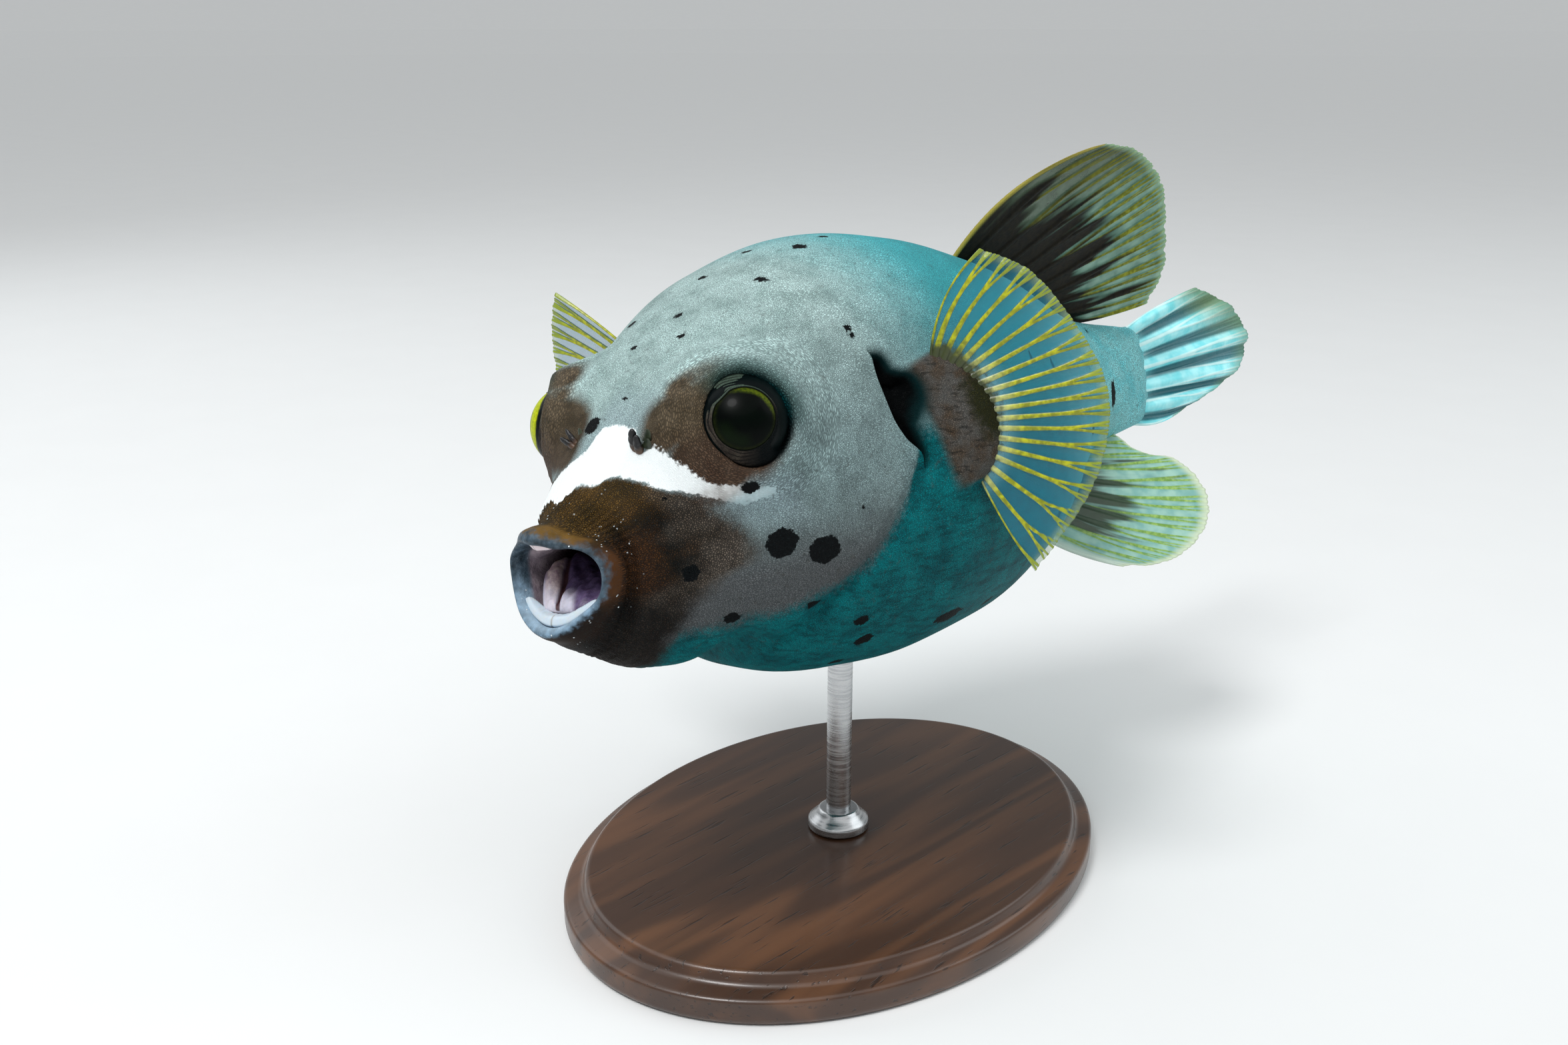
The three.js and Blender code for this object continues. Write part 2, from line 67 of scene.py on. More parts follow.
bank_turn = np.array(
    [
        [math.cos(BANK), 0, -math.sin(BANK)],
        [0, 1, 0],
        [math.sin(BANK), 0, math.cos(BANK)],
    ]
)
nose_turn = np.array(
    [
        [1, 0, 0],
        [0, math.cos(NOSE_DOWN), -math.sin(NOSE_DOWN)],
        [0, math.sin(NOSE_DOWN), math.cos(NOSE_DOWN)],
    ]
)
pose = nose_turn @ bank_turn


def placed(points):
    """Turns and shifts level fish millimetres to metres in the row's frame."""
    return ((points - BALANCE) @ pose.T + [0, 0, HANG_HEIGHT]) / 1000


print("lips end up at", placed(np.array([0, 0, -2.0])).round(4))

# %% [markdown]
# ## Small mathematics
#
# Most shapes below are outlines with a few points each. A smooth curve goes through them.
# A spline may swing past its points, so body outlines use cubics that never overshoot.

# %% Curves through a few points


def lerp(a, b, t):
    """a at t = 0, b at t = 1, and a straight line between them."""
    return a + (b - a) * t


def fade(low, high, x):
    """0 below low, 1 above high, and a smooth S between them."""
    t = np.clip((x - low) / (high - low), 0, 1)
    return t * t * (3 - 2 * t)


def bell(x, width):
    """A round hump, 1 at x = 0 and nearly 0 beyond twice the width."""
    return np.exp(-((x / width) ** 2))


def along(line, x):
    """Cubic pieces through [place, value] points. The slope at each point is the harmonic
    mean of the slopes beside it, or 0 where they differ in sign."""
    place, value = np.array(line, float).T
    gap = np.diff(place)
    slope = np.diff(value) / gap
    product = slope[:-1] * slope[1:]
    total = np.where(product > 0, slope[:-1] + slope[1:], 1)
    inner = np.where(product > 0, 2 * product / total, 0)
    tangent = np.concatenate([slope[:1], inner, slope[-1:]])
    k = np.clip(np.searchsorted(place, x) - 1, 0, len(place) - 2)
    t = np.clip((x - place[k]) / gap[k], 0, 1)
    bend = (1 - t) * tangent[k] - t * tangent[k + 1]
    return lerp(value[k], value[k + 1], (3 - 2 * t) * t * t) + t * (1 - t) * gap[k] * bend


def spline(points, u):
    """Even Catmull-Rom curve through points, its ends doubled, at u from 0 to 1."""
    points = np.array(points, float)
    last = len(points) - 1
    k = np.clip(np.floor(u * last).astype(int), 0, last - 1)
    t = (u * last - k)[..., None]
    a, b, c, d = (points[np.clip(k + shift, 0, last)] for shift in (-1, 0, 1, 2))
    leave, arrive = (c - a) / 2, (d - b) / 2
    return (
        (2 * t**3 - 3 * t**2 + 1) * b
        + (t**3 - 2 * t**2 + t) * leave
        + (3 * t**2 - 2 * t**3) * c
        + (t**3 - t**2) * arrive
    )


def unit(vector):
    """The vector divided by its own length."""
    vector = np.array(vector, float)
    return vector / np.linalg.norm(vector, axis=-1, keepdims=True)


print("halfway through 0, 1, 4:", spline([[0], [1], [4]], np.array([0.5]))[0, 0])

# %% [markdown]
# ## From a grid of points to a mesh
#
# Every piece is a grid: rows one way, columns round it. The same few lines turn any such
# grid into a closed mesh, and carry numbers such as "how far from the eye" to the shader
# as attributes. Blender's own primitives would need moving and cutting afterwards, while
# a grid is exact from the start.

# %% Grid to mesh


def normals(points):
    """Unit normals of a grid whose columns run round: the cross product of the step from
    the column before to the next one with the step from row to row."""
    round_step = np.roll(points, -1, 1) - np.roll(points, 1, 1)
    across = np.cross(round_step, np.gradient(points, axis=0))
    return across / np.maximum(np.linalg.norm(across, axis=-1, keepdims=True), 1e-12)


def quads(rows, columns, round_rows=False):
    """Four corner numbers of every cell of a grid: a point, its right neighbour and the two
    above them. The last column is joined to the first, and so are rows that run round."""
    r = np.arange(rows if round_rows else rows - 1)[:, None]
    c = np.arange(columns)[None, :]
    here, right = r * columns + c, r * columns + (c + 1) % columns
    up = (r + 1) % rows * columns
    return np.stack([here, right, up + (c + 1) % columns, up + c], -1).reshape(-1, 4)


def piece(name, points, values=None, ends="fan", round_rows=False, level=True):
    """A closed mesh object from a grid whose columns run round it.

    ends is "fan" for a point in the middle of the first and the last row, or "strip" where
    those rows are two facing edges. values are grids of numbers, kept as attributes. level
    points are in the fish's own millimetres, others are metres on the stand.
    """
    rows, columns = points.shape[:2]
    vertices = points.reshape(-1, 3)
    flat = {k: np.broadcast_to(v, (rows, columns)).ravel() for k, v in (values or {}).items()}
    faces = quads(rows, columns, round_rows).tolist()
    start = (rows - 1) * columns
    if not round_rows and ends == "fan":
        for first, backwards in ((0, False), (start, True)):
            ring = first + np.arange(columns)
            middle = np.full(columns, len(vertices))
            vertices = np.vstack([vertices, vertices[ring].mean(0)])
            flat = {key: np.append(v, v[ring].mean()) for key, v in flat.items()}
            edge = [np.roll(ring, -1), ring]
            faces += np.stack((edge[::-1] if backwards else edge) + [middle], -1).tolist()
    if not round_rows and ends == "strip":
        near = np.arange(columns // 2 - 1)
        far = columns - 1 - near
        cells = np.stack([near + 1, near, far, far - 1], -1)
        faces += cells.tolist() + (start + cells[:, ::-1]).tolist()
    if level:
        vertices = placed(vertices)
    halves = [f[:3] for f in faces], [[f[0], f[2], f[-1]] for f in faces]
    a, b, c = (np.concatenate([vertices[np.array(h)[:, k]] for h in halves]) for k in range(3))
    volume = np.einsum("ij,ij->", a, np.cross(b, c)) / 6  # below 0 if faces point inwards
    if volume < 0:
        faces = [f[::-1] for f in faces]
    mesh = bpy.data.meshes.new(name)
    mesh.from_pydata(vertices.tolist(), [], faces)
    mesh.update()
    mesh.polygons.foreach_set("use_smooth", np.full(len(faces), True))
    for key, v in flat.items():
        mesh.attributes.new(key, "FLOAT", "POINT").data.foreach_set("value", v.astype(np.float32))
    made = bpy.data.objects.new(name, mesh)
    bpy.context.scene.collection.objects.link(made)
    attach(made, "root")
    print(f"{name}: {len(faces)} faces, {abs(volume) * 1e6:.2f} cubic centimetres")
    return made


# %% [markdown]
# ## The camera and the studio
#
# The camera looks at the fish from its left front and a little above, through a 35 mm
# lens. The floor is one pale sheet, flat for eight metres and then rising like a dish, so
# that no horizon cuts the picture. The lamps are large and soft: a main lamp over the
# snout, two weaker ones from the tail and the far side, and a glow from straight above.

# %% Camera
CAMERA_AT = (0.2193, -0.2521, 0.2006)
CAMERA_AZIMUTH = 43.32  # 0 looks along +Y, 90 along -X
CAMERA_DOWN = 18.49

camera = bpy.data.objects.new("camera", bpy.data.cameras.new("camera"))
camera.data.lens = 35
camera.data.sensor_width = 36
camera.data.clip_start = 0.01
camera.location = CAMERA_AT
camera.rotation_euler = (math.radians(90 - CAMERA_DOWN), 0, math.radians(CAMERA_AZIMUTH))
bpy.context.scene.collection.objects.link(camera)
bpy.context.scene.camera = camera
print(f"camera: {math.dist(CAMERA_AT, (0, 0, HANG_HEIGHT / 1000)):.2f} m from the fish's middle")

# %% Floor
# A wide round dish of circles, [radius, height] in metres.
dish = np.array([[8, 0], [10, 0.1], [13, 0.6], [17, 1.8], [22, 4], [28, 7.5]])
turns = np.linspace(0, 2 * np.pi, 96, endpoint=False)
level = np.repeat(dish[:, 1:], len(turns), axis=1)
corners = np.stack([dish[:, :1] * np.cos(turns), dish[:, :1] * np.sin(turns), level], -1)
faces = [tuple(range(len(turns)))] + quads(len(dish), len(turns)).tolist()
floor_mesh = bpy.data.meshes.new("floor")
floor_mesh.from_pydata(corners.reshape(-1, 3).tolist(), [], faces)
floor = bpy.data.objects.new("floor", floor_mesh)
bpy.context.scene.collection.objects.link(floor)
print("floor:", len(faces), "faces")

# %% Lamps and sky
bpy.context.scene.view_settings.view_transform = "Standard"


def lamp(name, at, aim, size, watts, colour=(1, 1, 1)):
    """A round lamp of that size in metres, turned from its place towards its aim."""
    light = bpy.data.lights.new(name, "AREA")
    light.shape = "DISK"
    light.size = size
    light.energy = watts
    light.color = colour
    made = bpy.data.objects.new(name, light)
    away = np.array(at, float) - np.array(aim, float)
    made.location = at
    made.rotation_euler = (
        math.atan2(math.hypot(away[0], away[1]), away[2]),
        0,
        math.atan2(away[1], away[0]) + math.pi / 2,
    )
    bpy.context.scene.collection.objects.link(made)
    print(f"{name}: {watts} W, {np.linalg.norm(away):.2f} m away")


lamp("main_lamp", (0.1, -0.62, 1.05), (0, -0.02, 0.1), 0.4, 8.2)
lamp("tail_lamp", (0.75, 0.75, 0.8), (0, 0.05, 0.1), 0.9, 3.4, (0.93, 0.98, 1))
lamp("far_lamp", (-0.9, -0.1, 0.7), (0, 0, 0.1), 0.8, 2.0, (0.95, 0.98, 1))

ceiling = bpy.data.lights.new("ceiling_glow", "SUN")
ceiling.energy = 1.1
ceiling.angle = 1.6
ceiling_glow = bpy.data.objects.new("ceiling_glow", ceiling)
ceiling_glow.rotation_euler = (0.2, 0.15, 0)
bpy.context.scene.collection.objects.link(ceiling_glow)

sky = bpy.data.worlds.new("sky")
sky.use_nodes = True
sky.node_tree.nodes["Background"].inputs["Color"].default_value = (0.86, 0.9, 0.92, 1)
sky.node_tree.nodes["Background"].inputs["Strength"].default_value = 0.3
bpy.context.scene.world = sky

# %% [markdown]
# ## Mixing finishes
#
# A finish is a small graph of nodes. Writing each link by hand hides what it means, so a
# `Finish` collects the nodes of one material and lets a colour be written as a formula.
# Lengths in a finish are millimetres, because Object coordinates are scaled once here.

# %% A finish and its parts


def srgb(red, green, blue):
    """Linear colour from the usual 0 to 255 numbers."""
    c = np.array([red, green, blue]) / 255
    linear = np.where(c <= 0.04045, c / 12.92, ((c + 0.055) / 1.055) ** 2.4)
    return (*linear.tolist(), 1)


class Signal:
    """What comes out of a node. Adding or multiplying signals adds a Math node."""

    def __init__(self, finish, socket):
        self.finish = finish
        self.socket = socket

    def __add__(self, other):
        return self.finish.maths("ADD", self, other)

    def __mul__(self, other):
        return self.finish.maths("MULTIPLY", self, other)

    def __sub__(self, other):
        return self + -1 * other

    __rmul__ = __mul__


class Finish:
    """One material in the making: each method adds a node and gives its signal."""

    def __init__(self, name, **plain):
        self.material = bpy.data.materials.new(name)
        self.material.use_nodes = True
        self.nodes = self.material.node_tree.nodes
        self.links = self.material.node_tree.links
        self.shader = self.nodes["Principled BSDF"]
        self.fill(self.shader, {key.replace("_", " "): value for key, value in plain.items()})
        self.place = self.add("TexCoord", {}, "Object")
        self.place = self.spread(1000)

    def fill(self, node, sockets):
        """Puts a signal or a plain value into each socket, by its name or number."""
        for key, value in sockets.items():
            if isinstance(value, Signal):
                self.links.new(value.socket, node.inputs[key])
            elif value is not None:
                node.inputs[key].default_value = value

    def add(self, kind, sockets, result=0, **settings):
        """A new node with its settings and sockets filled, and one of its signals."""
        node = self.nodes.new("ShaderNode" + kind)
        for key, value in settings.items():
            setattr(node, key, value)
        self.fill(node, sockets)
        return Signal(self, node.outputs[result])

    def maths(self, operation, *values):
        """A Math node on signals or plain numbers."""
        return self.add("Math", dict(enumerate(values)), operation=operation)

    def join(self, x, y, z):
        """Three signals as the places along three axes."""
        return self.add("CombineXYZ", {0: x, 1: y, 2: z})

    def spread(self, x, y=None, z=None):
        """Object coordinates scaled along each axis."""
        scale = (x, x if y is None else y, x if z is None else z)
        return self.add("Mapping", {"Vector": self.place, "Scale": scale})

    def number(self, name):
        """A number that the mesh carries at each vertex."""
        return self.add("Attribute", {}, "Fac", attribute_name=name)

    def noise(self, size, vector=None, detail=2.0, rough=0.5):
        """Noise from about -0.5 to 0.5, whose lumps are about size millimetres."""
        sockets = {"Vector": vector or self.place, "Scale": 1 / size}
        sockets |= {"Detail": detail, "Roughness": rough}
        return self.add("TexNoise", sockets, "Fac") - 0.5

    def cells(self, size, vector=None, feature="F1"):
        """Distance in a pattern of cells: from their middles, or from their borders."""
        sockets = {"Vector": vector or self.place, "Scale": 1 / size}
        return self.add("TexVoronoi", sockets, "Distance", feature=feature)

    def warped(self, vector, size, amount):
        """The vector, pushed about by up to amount in lumps of that size."""
        lumps = self.add("TexNoise", {"Vector": self.place, "Scale": 1 / size}, "Color")
        push = self.add("VectorMath", {0: lumps, 1: (amount,) * 3}, operation="MULTIPLY")
        return self.add("VectorMath", {0: vector, 1: push}, operation="ADD")

    def done(self, colour, roughness=None, relief=None, alpha=None):
        """Plugs the results in. relief is a height in millimetres."""
        self.fill(self.shader, {"Base Color": colour, "Roughness": roughness, "Alpha": alpha})
        if relief is not None:
            bump = self.add("Bump", {"Distance": 0.001, "Height": relief})
            self.fill(self.shader, {"Normal": bump})
        print(f"{self.material.name}: {len(self.nodes)} nodes")
        return self.material


def step(low, high, x):
    """0 below low, 1 above high, a smooth S between them, and the reverse if low > high."""
    sockets = {"Value": x, "From Min": min(low, high), "From Max": max(low, high)}
    sockets |= {"To Min": int(low > high), "To Max": int(low < high)}
    return x.finish.add("MapRange", sockets, interpolation_type="SMOOTHSTEP")


def blend(share, a, b):
    """Number a where share is 0, and b where it is 1."""
    return share.finish.add("Mix", {0: share, 2: a, 3: b})


def mix(share, a, b):
    """Colour a where share is 0, and b where it is 1."""
    return share.finish.add("Mix", {0: share, 6: a, 7: b}, 2, data_type="RGBA")


def dress(made, material, stands_for=()):
    """Gives a piece its finish, and hides the imported nodes it stands for."""
    made.data.materials.clear()
    made.data.materials.append(material)
    if stands_for:
        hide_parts(*stands_for)


# %% The floor's finish
paper = Finish("pale_floor", Roughness=0.9)
clouds = step(-0.3, 0.3, paper.noise(40, detail=3))
floor_tone = mix(clouds, (0.79, 0.8, 0.8, 1), (0.80, 0.81, 0.81, 1))
floor_mesh.materials.append(paper.done(floor_tone))

# %% [markdown]
# ## The body under the skin
#
# A puffer at ease is an egg with a blunt snout and a thick tail stalk. Four outlines say
# all of it: back, belly, half width, and the height at which it is widest. A ring round
# the body is a squared oval between them. These are the outlines of the solid model, so
# the skin lies on it.

# %% Outlines of the body, as [back from the lips, height or half width]
back_line = [
    [11, 13.5], [16, 18], [22, 24.5], [32, 34.5], [42, 41], [60, 49.7], [80, 53.5],
    [102, 50.5], [124, 44.2], [145, 36.5], [163, 27.5], [180, 19.5], [205, 14],
]
belly_line = [
    [11, -21.2], [16, -24.3], [21, -25.8], [32, -28.6], [42, -32.6], [52, -37], [60, -39],
    [80, -41.7], [102, -41.5], [124, -38.3], [145, -32.8], [163, -24.2], [180, -16.3],
    [205, -13.5],
]
flank_line = [
    [11, 16], [16, 18.5], [22, 22], [32, 28.5], [42, 33.5], [60, 40.5], [80, 44.5],
    [102, 42], [124, 35.7], [145, 26.5], [163, 17.5], [180, 11], [205, 5],
]
widest_line = [[11, -1.2], [42, 2], [80, 0], [102, -2], [145, -1], [180, 1.5], [205, 0.5]]
square_line = [[11, 2], [32, 2.6], [42, 2.6], [80, 2.2], [145, 2.1], [205, 2]]
STALK_END = 205
BEND_START = 150
TAIL_SWING = math.radians(13)  # of the tail fin, to the fish's left
BELLY_SQUARE = 2.1  # 2 is a plain oval, more is squarer

# %% Rings of the body


def oval_radius(angle, above, below, half_width, square):
    """Radius of a squared oval at an angle from straight up, positive to the left. Its
    height and width, each divided by their reach and raised to a power, add up to 1."""
    up, side = np.cos(angle), np.sin(angle)
    reach = np.where(up > 0, above, below)
    power = np.where(up > 0, square, BELLY_SQUARE)
    return (np.abs(up / reach) ** power + np.abs(side / half_width) ** power) ** (-1 / power)


def body(angle, back):
    """Point of the plain body, at an angle from straight up and a distance back."""
    widest = along(widest_line, back)
    above = along(back_line, back) - widest
    below = widest - along(belly_line, back)
    r = oval_radius(angle, above, below, along(flank_line, back), along(square_line, back))
    return np.stack([r * np.sin(angle), back + 0 * r, widest + r * np.cos(angle)], -1)


def bend_tail(points):
    """Swings everything behind the bend to the fish's left: the shift grows with the square
    of the distance past the bend, so the stalk follows a steady curve."""
    length = STALK_END - BEND_START
    past = np.clip(points[..., 1] - BEND_START, 0, length)
    share = math.tan(TAIL_SWING) / (1 + math.tan(TAIL_SWING))
    shift = share * past**2 / length / 2
    return points + np.stack([shift, -shift, 0 * shift], -1)


for place in (42, 80, 163):
    high, low, half = (along(line, place) for line in (back_line, belly_line, flank_line))
    print(f"{place} mm back: {high - low:.0f} mm tall, {2 * half:.0f} mm wide")

# %% [markdown]
# ## Mouth and lips
#
# The lips are a fleshy ring whose corners lie further back than its middle. They are the
# front end of the same grid as the body: the first rings line the mouth, the next roll
# over the lip, and the last of them meet the muzzle in a crease.

# %% Rings of the mouth
MOUTH_FRONT = -2.4
MOUTH_HEIGHT = -0.8
MOUTH_HALF_WIDTH = 13.2
MOUTH_ABOVE = 5.7
MOUTH_BELOW = 9.9
LIP = 3.5
LOWER_LIP_EXTRA = -0.4
CORNER_BACK = 5.2


def opening(angle):
    """Radius of the mouth: an oval, drawn in or out by bells at a few angles, because a
    soft mouth caught in the act of opening is never even."""
    radius = oval_radius(angle, MOUTH_ABOVE, MOUTH_BELOW, MOUTH_HALF_WIDTH, 2.3)
    turn = np.degrees(angle) % 360
    for place, width, out in ((45, 20, -1.2), (130, 22, -0.9), (235, 22, 1.1), (292, 20, -0.9)):
        radius = radius + out * bell(turn - place, width)
    return radius


def lip_thickness(angle):
    """The lip's thickness, less below by the drop of the angle and at the corners by the
    square of its sine."""
    lower = np.maximum(0, -np.cos(angle))
    return LIP + LOWER_LIP_EXTRA * lower - 1 * np.sin(angle) ** 2


def mouth_point(angle, radius, back, height=MOUTH_HEIGHT):
    """Point at an angle and a radius round the mouth's axis."""
    return np.stack([radius * np.sin(angle), back, height + radius * np.cos(angle)], -1)


def mouth_rings(angle):
    """Rings from the throat, out over the lips, to the crease behind them."""
    side = np.sin(angle) ** 2
    corner = CORNER_BACK * side
    wide, thick = opening(angle), lip_thickness(angle)
    lower = fade(0.2, 1, -np.cos(angle))  # the chin hangs just behind the lower lip
    rings = [
        mouth_point(angle, wide * share, back + corner * 0.3, height)
        for share, back, height in (
            (0.02, 24, -3), (0.45, 23.4, -3), (0.8, 18, -2.6), (0.94, 11.5, -2.3), (0.99, 6, -2),
        )
    ]
    # Over the lip: share of its thickness, distance back, share of the corner's sweep.
    for share, back, sweep in (
        (0, 1.5, 1), (0.13, -1.1, 1), (0.48, -2.2, 1), (0.84, -1.2, 0.97), (1, 1.4, 0.92),
        (0.99, 3.9, 0.75),
    ):
        chin = 0.8 * lower * max(0, back)
        rings.append(mouth_point(angle, wide + thick * share + chin, back + corner * sweep))
    crease = body(angle, np.full_like(angle, 11.0))
    rim = mouth_point(angle, wide + thick, np.full_like(angle, 7.4))
    middle = lerp(rim, crease, 0.45)
    middle[:, 1] = 7.2 + 0.5 * corner
    middle[:, [0, 2]] *= (1 - 0.025 - 0.03 * side)[:, None]
    middle[:, 2] -= 2.2 * lower
    return rings + [middle]


compass = np.radians([0, 90, 180, 270])
print("mouth, from its axis up, left, down and right:", opening(compass).round(1), "mm")

# %% [markdown]
# ## One skin from lips to tail
#
# The rings are joined by smooth curves running back along the fish. The rows stand close
# at the lips, eyes and gill slit, where the skin has folds, and wider over the flank. All
# of it could be sculpted, but a grid keeps the folds editable: each is a height in
# millimetres, added along the normal.

# %% Grid of the skin
COLUMNS = 232
RING_STEP = 3.0
FIRST_RING = 11.0
FINE_END = 77.0

even = 2 * np.pi * np.arange(COLUMNS) / COLUMNS
ring_angles = even + 0.2 * np.sin(2 * even) - 0.35 * np.sin(even)  # closest at the eyes
fine_rings = np.arange(FIRST_RING, FINE_END, RING_STEP)
ring_backs = np.concatenate([fine_rings, np.arange(FINE_END, 204, 4.0)])


def stalk_cap():
    """The fleshy end of the stalk, pressed flat on to the roots of the tail rays."""
    end = body(ring_angles, np.full(COLUMNS, float(STALK_END)))
    middle = np.array([0, 0, 0.5])
    shapes = [(0, 1, 1), (2.5, 0.8, 0.98), (5, 0.5, 0.93), (7.5, 0.3, 0.85), (9, 0.06, 0.7)]
    return [(end - middle) * [flat, 1, tall] + middle + [0, back, 0] for back, flat, tall in shapes]


def join_rings(rings, where):
    """Smooth curves through the rings, column by column. where counts in rings. The slope
    at each ring is the mean of the slopes beside it, weighted towards the nearer ring."""
    k = np.clip(np.floor(where).astype(int), 0, len(rings) - 2)
    t = (where - k)[..., None]
    column = np.arange(rings.shape[1])[None, :]
    a, b, c, d = (rings[np.clip(k + s, 0, len(rings) - 1), column] for s in (-1, 0, 1, 2))

    def length(v):
        return np.maximum(np.linalg.norm(v, axis=-1, keepdims=True), 1e-3)

    ab, bc, cd = length(b - a), length(c - b), length(d - c)
    leave = ((b - a) / ab * bc + (c - b) / bc * ab) / (ab + bc)
    arrive = ((c - b) / bc * cd + (d - c) / cd * bc) / (bc + cd)
    return (
        (2 * t**3 - 3 * t**2 + 1) * b
        + (t**3 - 2 * t**2 + t) * leave * bc
        + (3 * t**2 - 2 * t**3) * c
        + (t**3 - t**2) * arrive * bc
    )


lips = mouth_rings(ring_angles)
rings = np.stack(lips + [body(ring_angles, np.full(COLUMNS, b)) for b in ring_backs] + stalk_cap())
first_body = len(lips)
to_gills = first_body + (57 - FIRST_RING) / RING_STEP
past_fin = first_body + (FINE_END - FIRST_RING) / RING_STEP
# First ring, last ring and number of rows of each stretch.
spans = [
    (0, 4, 20), (4, first_body + 1, 62), (first_body + 1, to_gills, 132),
    (to_gills, past_fin, 56), (past_fin, len(rings) - 6, 84),
    (len(rings) - 6, len(rings) - 1, 22),
]
row_places = [np.linspace(a, b, n, endpoint=False) for a, b, n in spans]
row_places = np.concatenate(row_places + [[len(rings) - 1]])
print("skin grid:", len(row_places), "rows of", COLUMNS)

# %% [markdown]
# ## Gill slit
#
# In front of each pectoral fin the gill opens in one black slit, with a soft round lip
# that overhangs it. A row of the grid has to run along such an edge, or it turns into a
# staircase. So the rows are first shifted to follow the lip, and only then pushed in.

# %% Rows that follow the gill's lip
GILL_ROW = 61.8
# The slit's front and rear edge, as [height, back from the lips].
gill_front = [
    [-6, 62.5], [1, 64.6], [5, 66], [8, 64.6], [12, 61.4], [17, 59.7], [24, 59.2], [30, 60.4],
    [36, 62.2],
]
gill_rear = [[3, 67.6], [6.3, 68], [12.7, 67.8], [18, 67.6], [23, 67.2], [28, 65.6], [31, 63]]


def shifted_rows(height, back):
    """How far a row near the gill is moved back, to run along the lip at that height."""
    return (along(gill_front, height) - GILL_ROW) * bell(back - GILL_ROW, 7)


plain = join_rings(rings, np.broadcast_to(row_places[:, None], (len(row_places), COLUMNS)))
shift = shifted_rows(plain[..., 2], plain[..., 1])
where = np.clip(row_places[:, None] + shift / RING_STEP, 0, len(rings) - 1)
base = join_rings(rings, where)
print(f"rows moved by {shift.min():.1f} to {shift.max():.1f} mm")

# %% [markdown]
# ## Eye sockets
#
# A puffer's eye stands in a round of skin that wraps it like a sleeve. Outside a sharp
# groove the skin keeps folding in circles round the eye. Near each eye the skin is pulled
# to a profile that depends only on the distance from the eye's own axis.

# %% Skin round the eyes
EYE_CENTRE = np.array([29, 31.8, 22.3])  # middle of the left eye's rim
EYE_AXIS = unit([0.87, -0.42, 0.26])
EYE_RADIUS = 9
EYE_SUNK = {1: 4.0, -1: 3.4}  # how far inside the rim each ball's centre lies
EYE_TURN = {1: (-0.5, 1.3), -1: (0, 0)}  # how far up and forward the opening lies off the axis
GROOVE = 8.8
# Height of the skin by distance from the eye's axis: socket, groove, then fading folds.
orbit = [
    [0, -5], [6, -4.6], [7.5, -3.6], [8.3, -2], [8.8, -0.7], [9.4, 0.3], [10.6, 0.4], [12, 0.05],
    [13.6, -0.6], [16.2, -1.7], [20, -3.6],
]


def eye_frame(side):
    """Centre and three axes of an eye: outward, up over the lid, and towards the snout."""
    mirror = np.array([side, 1, 1])
    centre, outward = EYE_CENTRE * mirror, EYE_AXIS * mirror
    upward = unit(np.array([0, 0, 1]) - outward * outward[2])
    forward = np.cross(outward, upward) * side
    return centre, outward, upward, forward


def eye_place(points, side):
    """Height over the rim, distance from the axis, and the share up and forward of it."""
    centre, outward, upward, forward = eye_frame(side)
    offset = points - centre
    height = offset @ outward
    up, ahead = offset @ upward, offset @ forward
    away = np.hypot(up, ahead)
    return height, away, up / np.maximum(away, 1e-6), ahead / np.maximum(away, 1e-6)


def groove_shift(side, up, ahead):
    """How much wider the groove runs at the lower rear, and narrower before the left eye."""
    wider = 0.8 * fade(0, 0.85, -0.75 * ahead - 0.65 * up)
    return wider - 0.7 * fade(0.1, 0.9, ahead) * (side > 0)


def raise_orbits(points):
    """Pulls the skin near each eye to the orbit's profile, which is lowered in front of the
    eye, raised over it and rippled in rings."""
    for side in (1, -1):
        height, away, up, ahead = eye_place(points, side)
        share = np.where(height > -14, 1 - fade(10.5, 19, away), 0)
        profile = along(orbit, away - groove_shift(side, up, ahead))
        profile += 0.9 * bell(away - 12, 3.5) * fade(0.2, 0.9, up + 0.35 * ahead)
        lower = 1.2 if side < 0 else 1.5
        profile -= fade(0.1, 0.8, ahead) * lower * (fade(8.3, 9.2, away) + fade(9.4, 12, away))
        profile += 0.1 * np.cos(2 * np.pi * away / 1.25) * bell(away - 12, 2.4)
        points = points + ((profile - height) * share)[..., None] * eye_frame(side)[1]
    return points


skin = raise_orbits(base)
moved = np.linalg.norm(skin - base, axis=-1)
print(f"orbits: {(moved > 0.05).sum()} points moved, by {moved.max():.1f} mm at most")

# %% [markdown]
# ## Fleshy roots of the pectoral fins
#
# Each pectoral fin fans out of a muscular pad behind the gill. The pad is a swelling of
# the skin, pushed out along the fin's own direction, so it leans back over the flank.

# %% Swell the skin at the fins' roots


def pectoral_frame(side, splay):
    """Top and bottom of a fin's root, and its axes: down the root, out, and forwards."""
    top = np.array([40.5 * side, 72.5, 25.5])
    bottom = np.array([42.9 * side, 77.2, 1])
    down = unit(bottom - top)
    out = np.array([math.sin(splay) * side, math.cos(splay), 0])
    out = unit(out - out @ down * down)
    return top, bottom, down, out, np.cross(out, down) * side


PECTORAL_SPLAY = {1: math.radians(47), -1: math.radians(100)}
PAD_OUT = 7.8
PAD_HALF = 5.8


def pad_share(points, side):
    """0 off the pad and 1 on its crest: a half oval across it, and an oval along it."""
    top, bottom, down, out, front = pectoral_frame(side, PECTORAL_SPLAY[side])
    length = np.linalg.norm(bottom - top)
    t = ((points - top) @ down / length + 0.07) / 1.16
    across = (points - top) @ front / PAD_HALF
    near = fade(18, 12, np.abs((points - top) @ out))
    oval = np.sqrt(np.clip(np.sin(np.pi * np.clip(t, 0.0, 1.0)), 0, 1))
    return oval * np.sqrt(np.clip(1 - across**2, 0, 1)) * near * (points[..., 0] * side > 20)


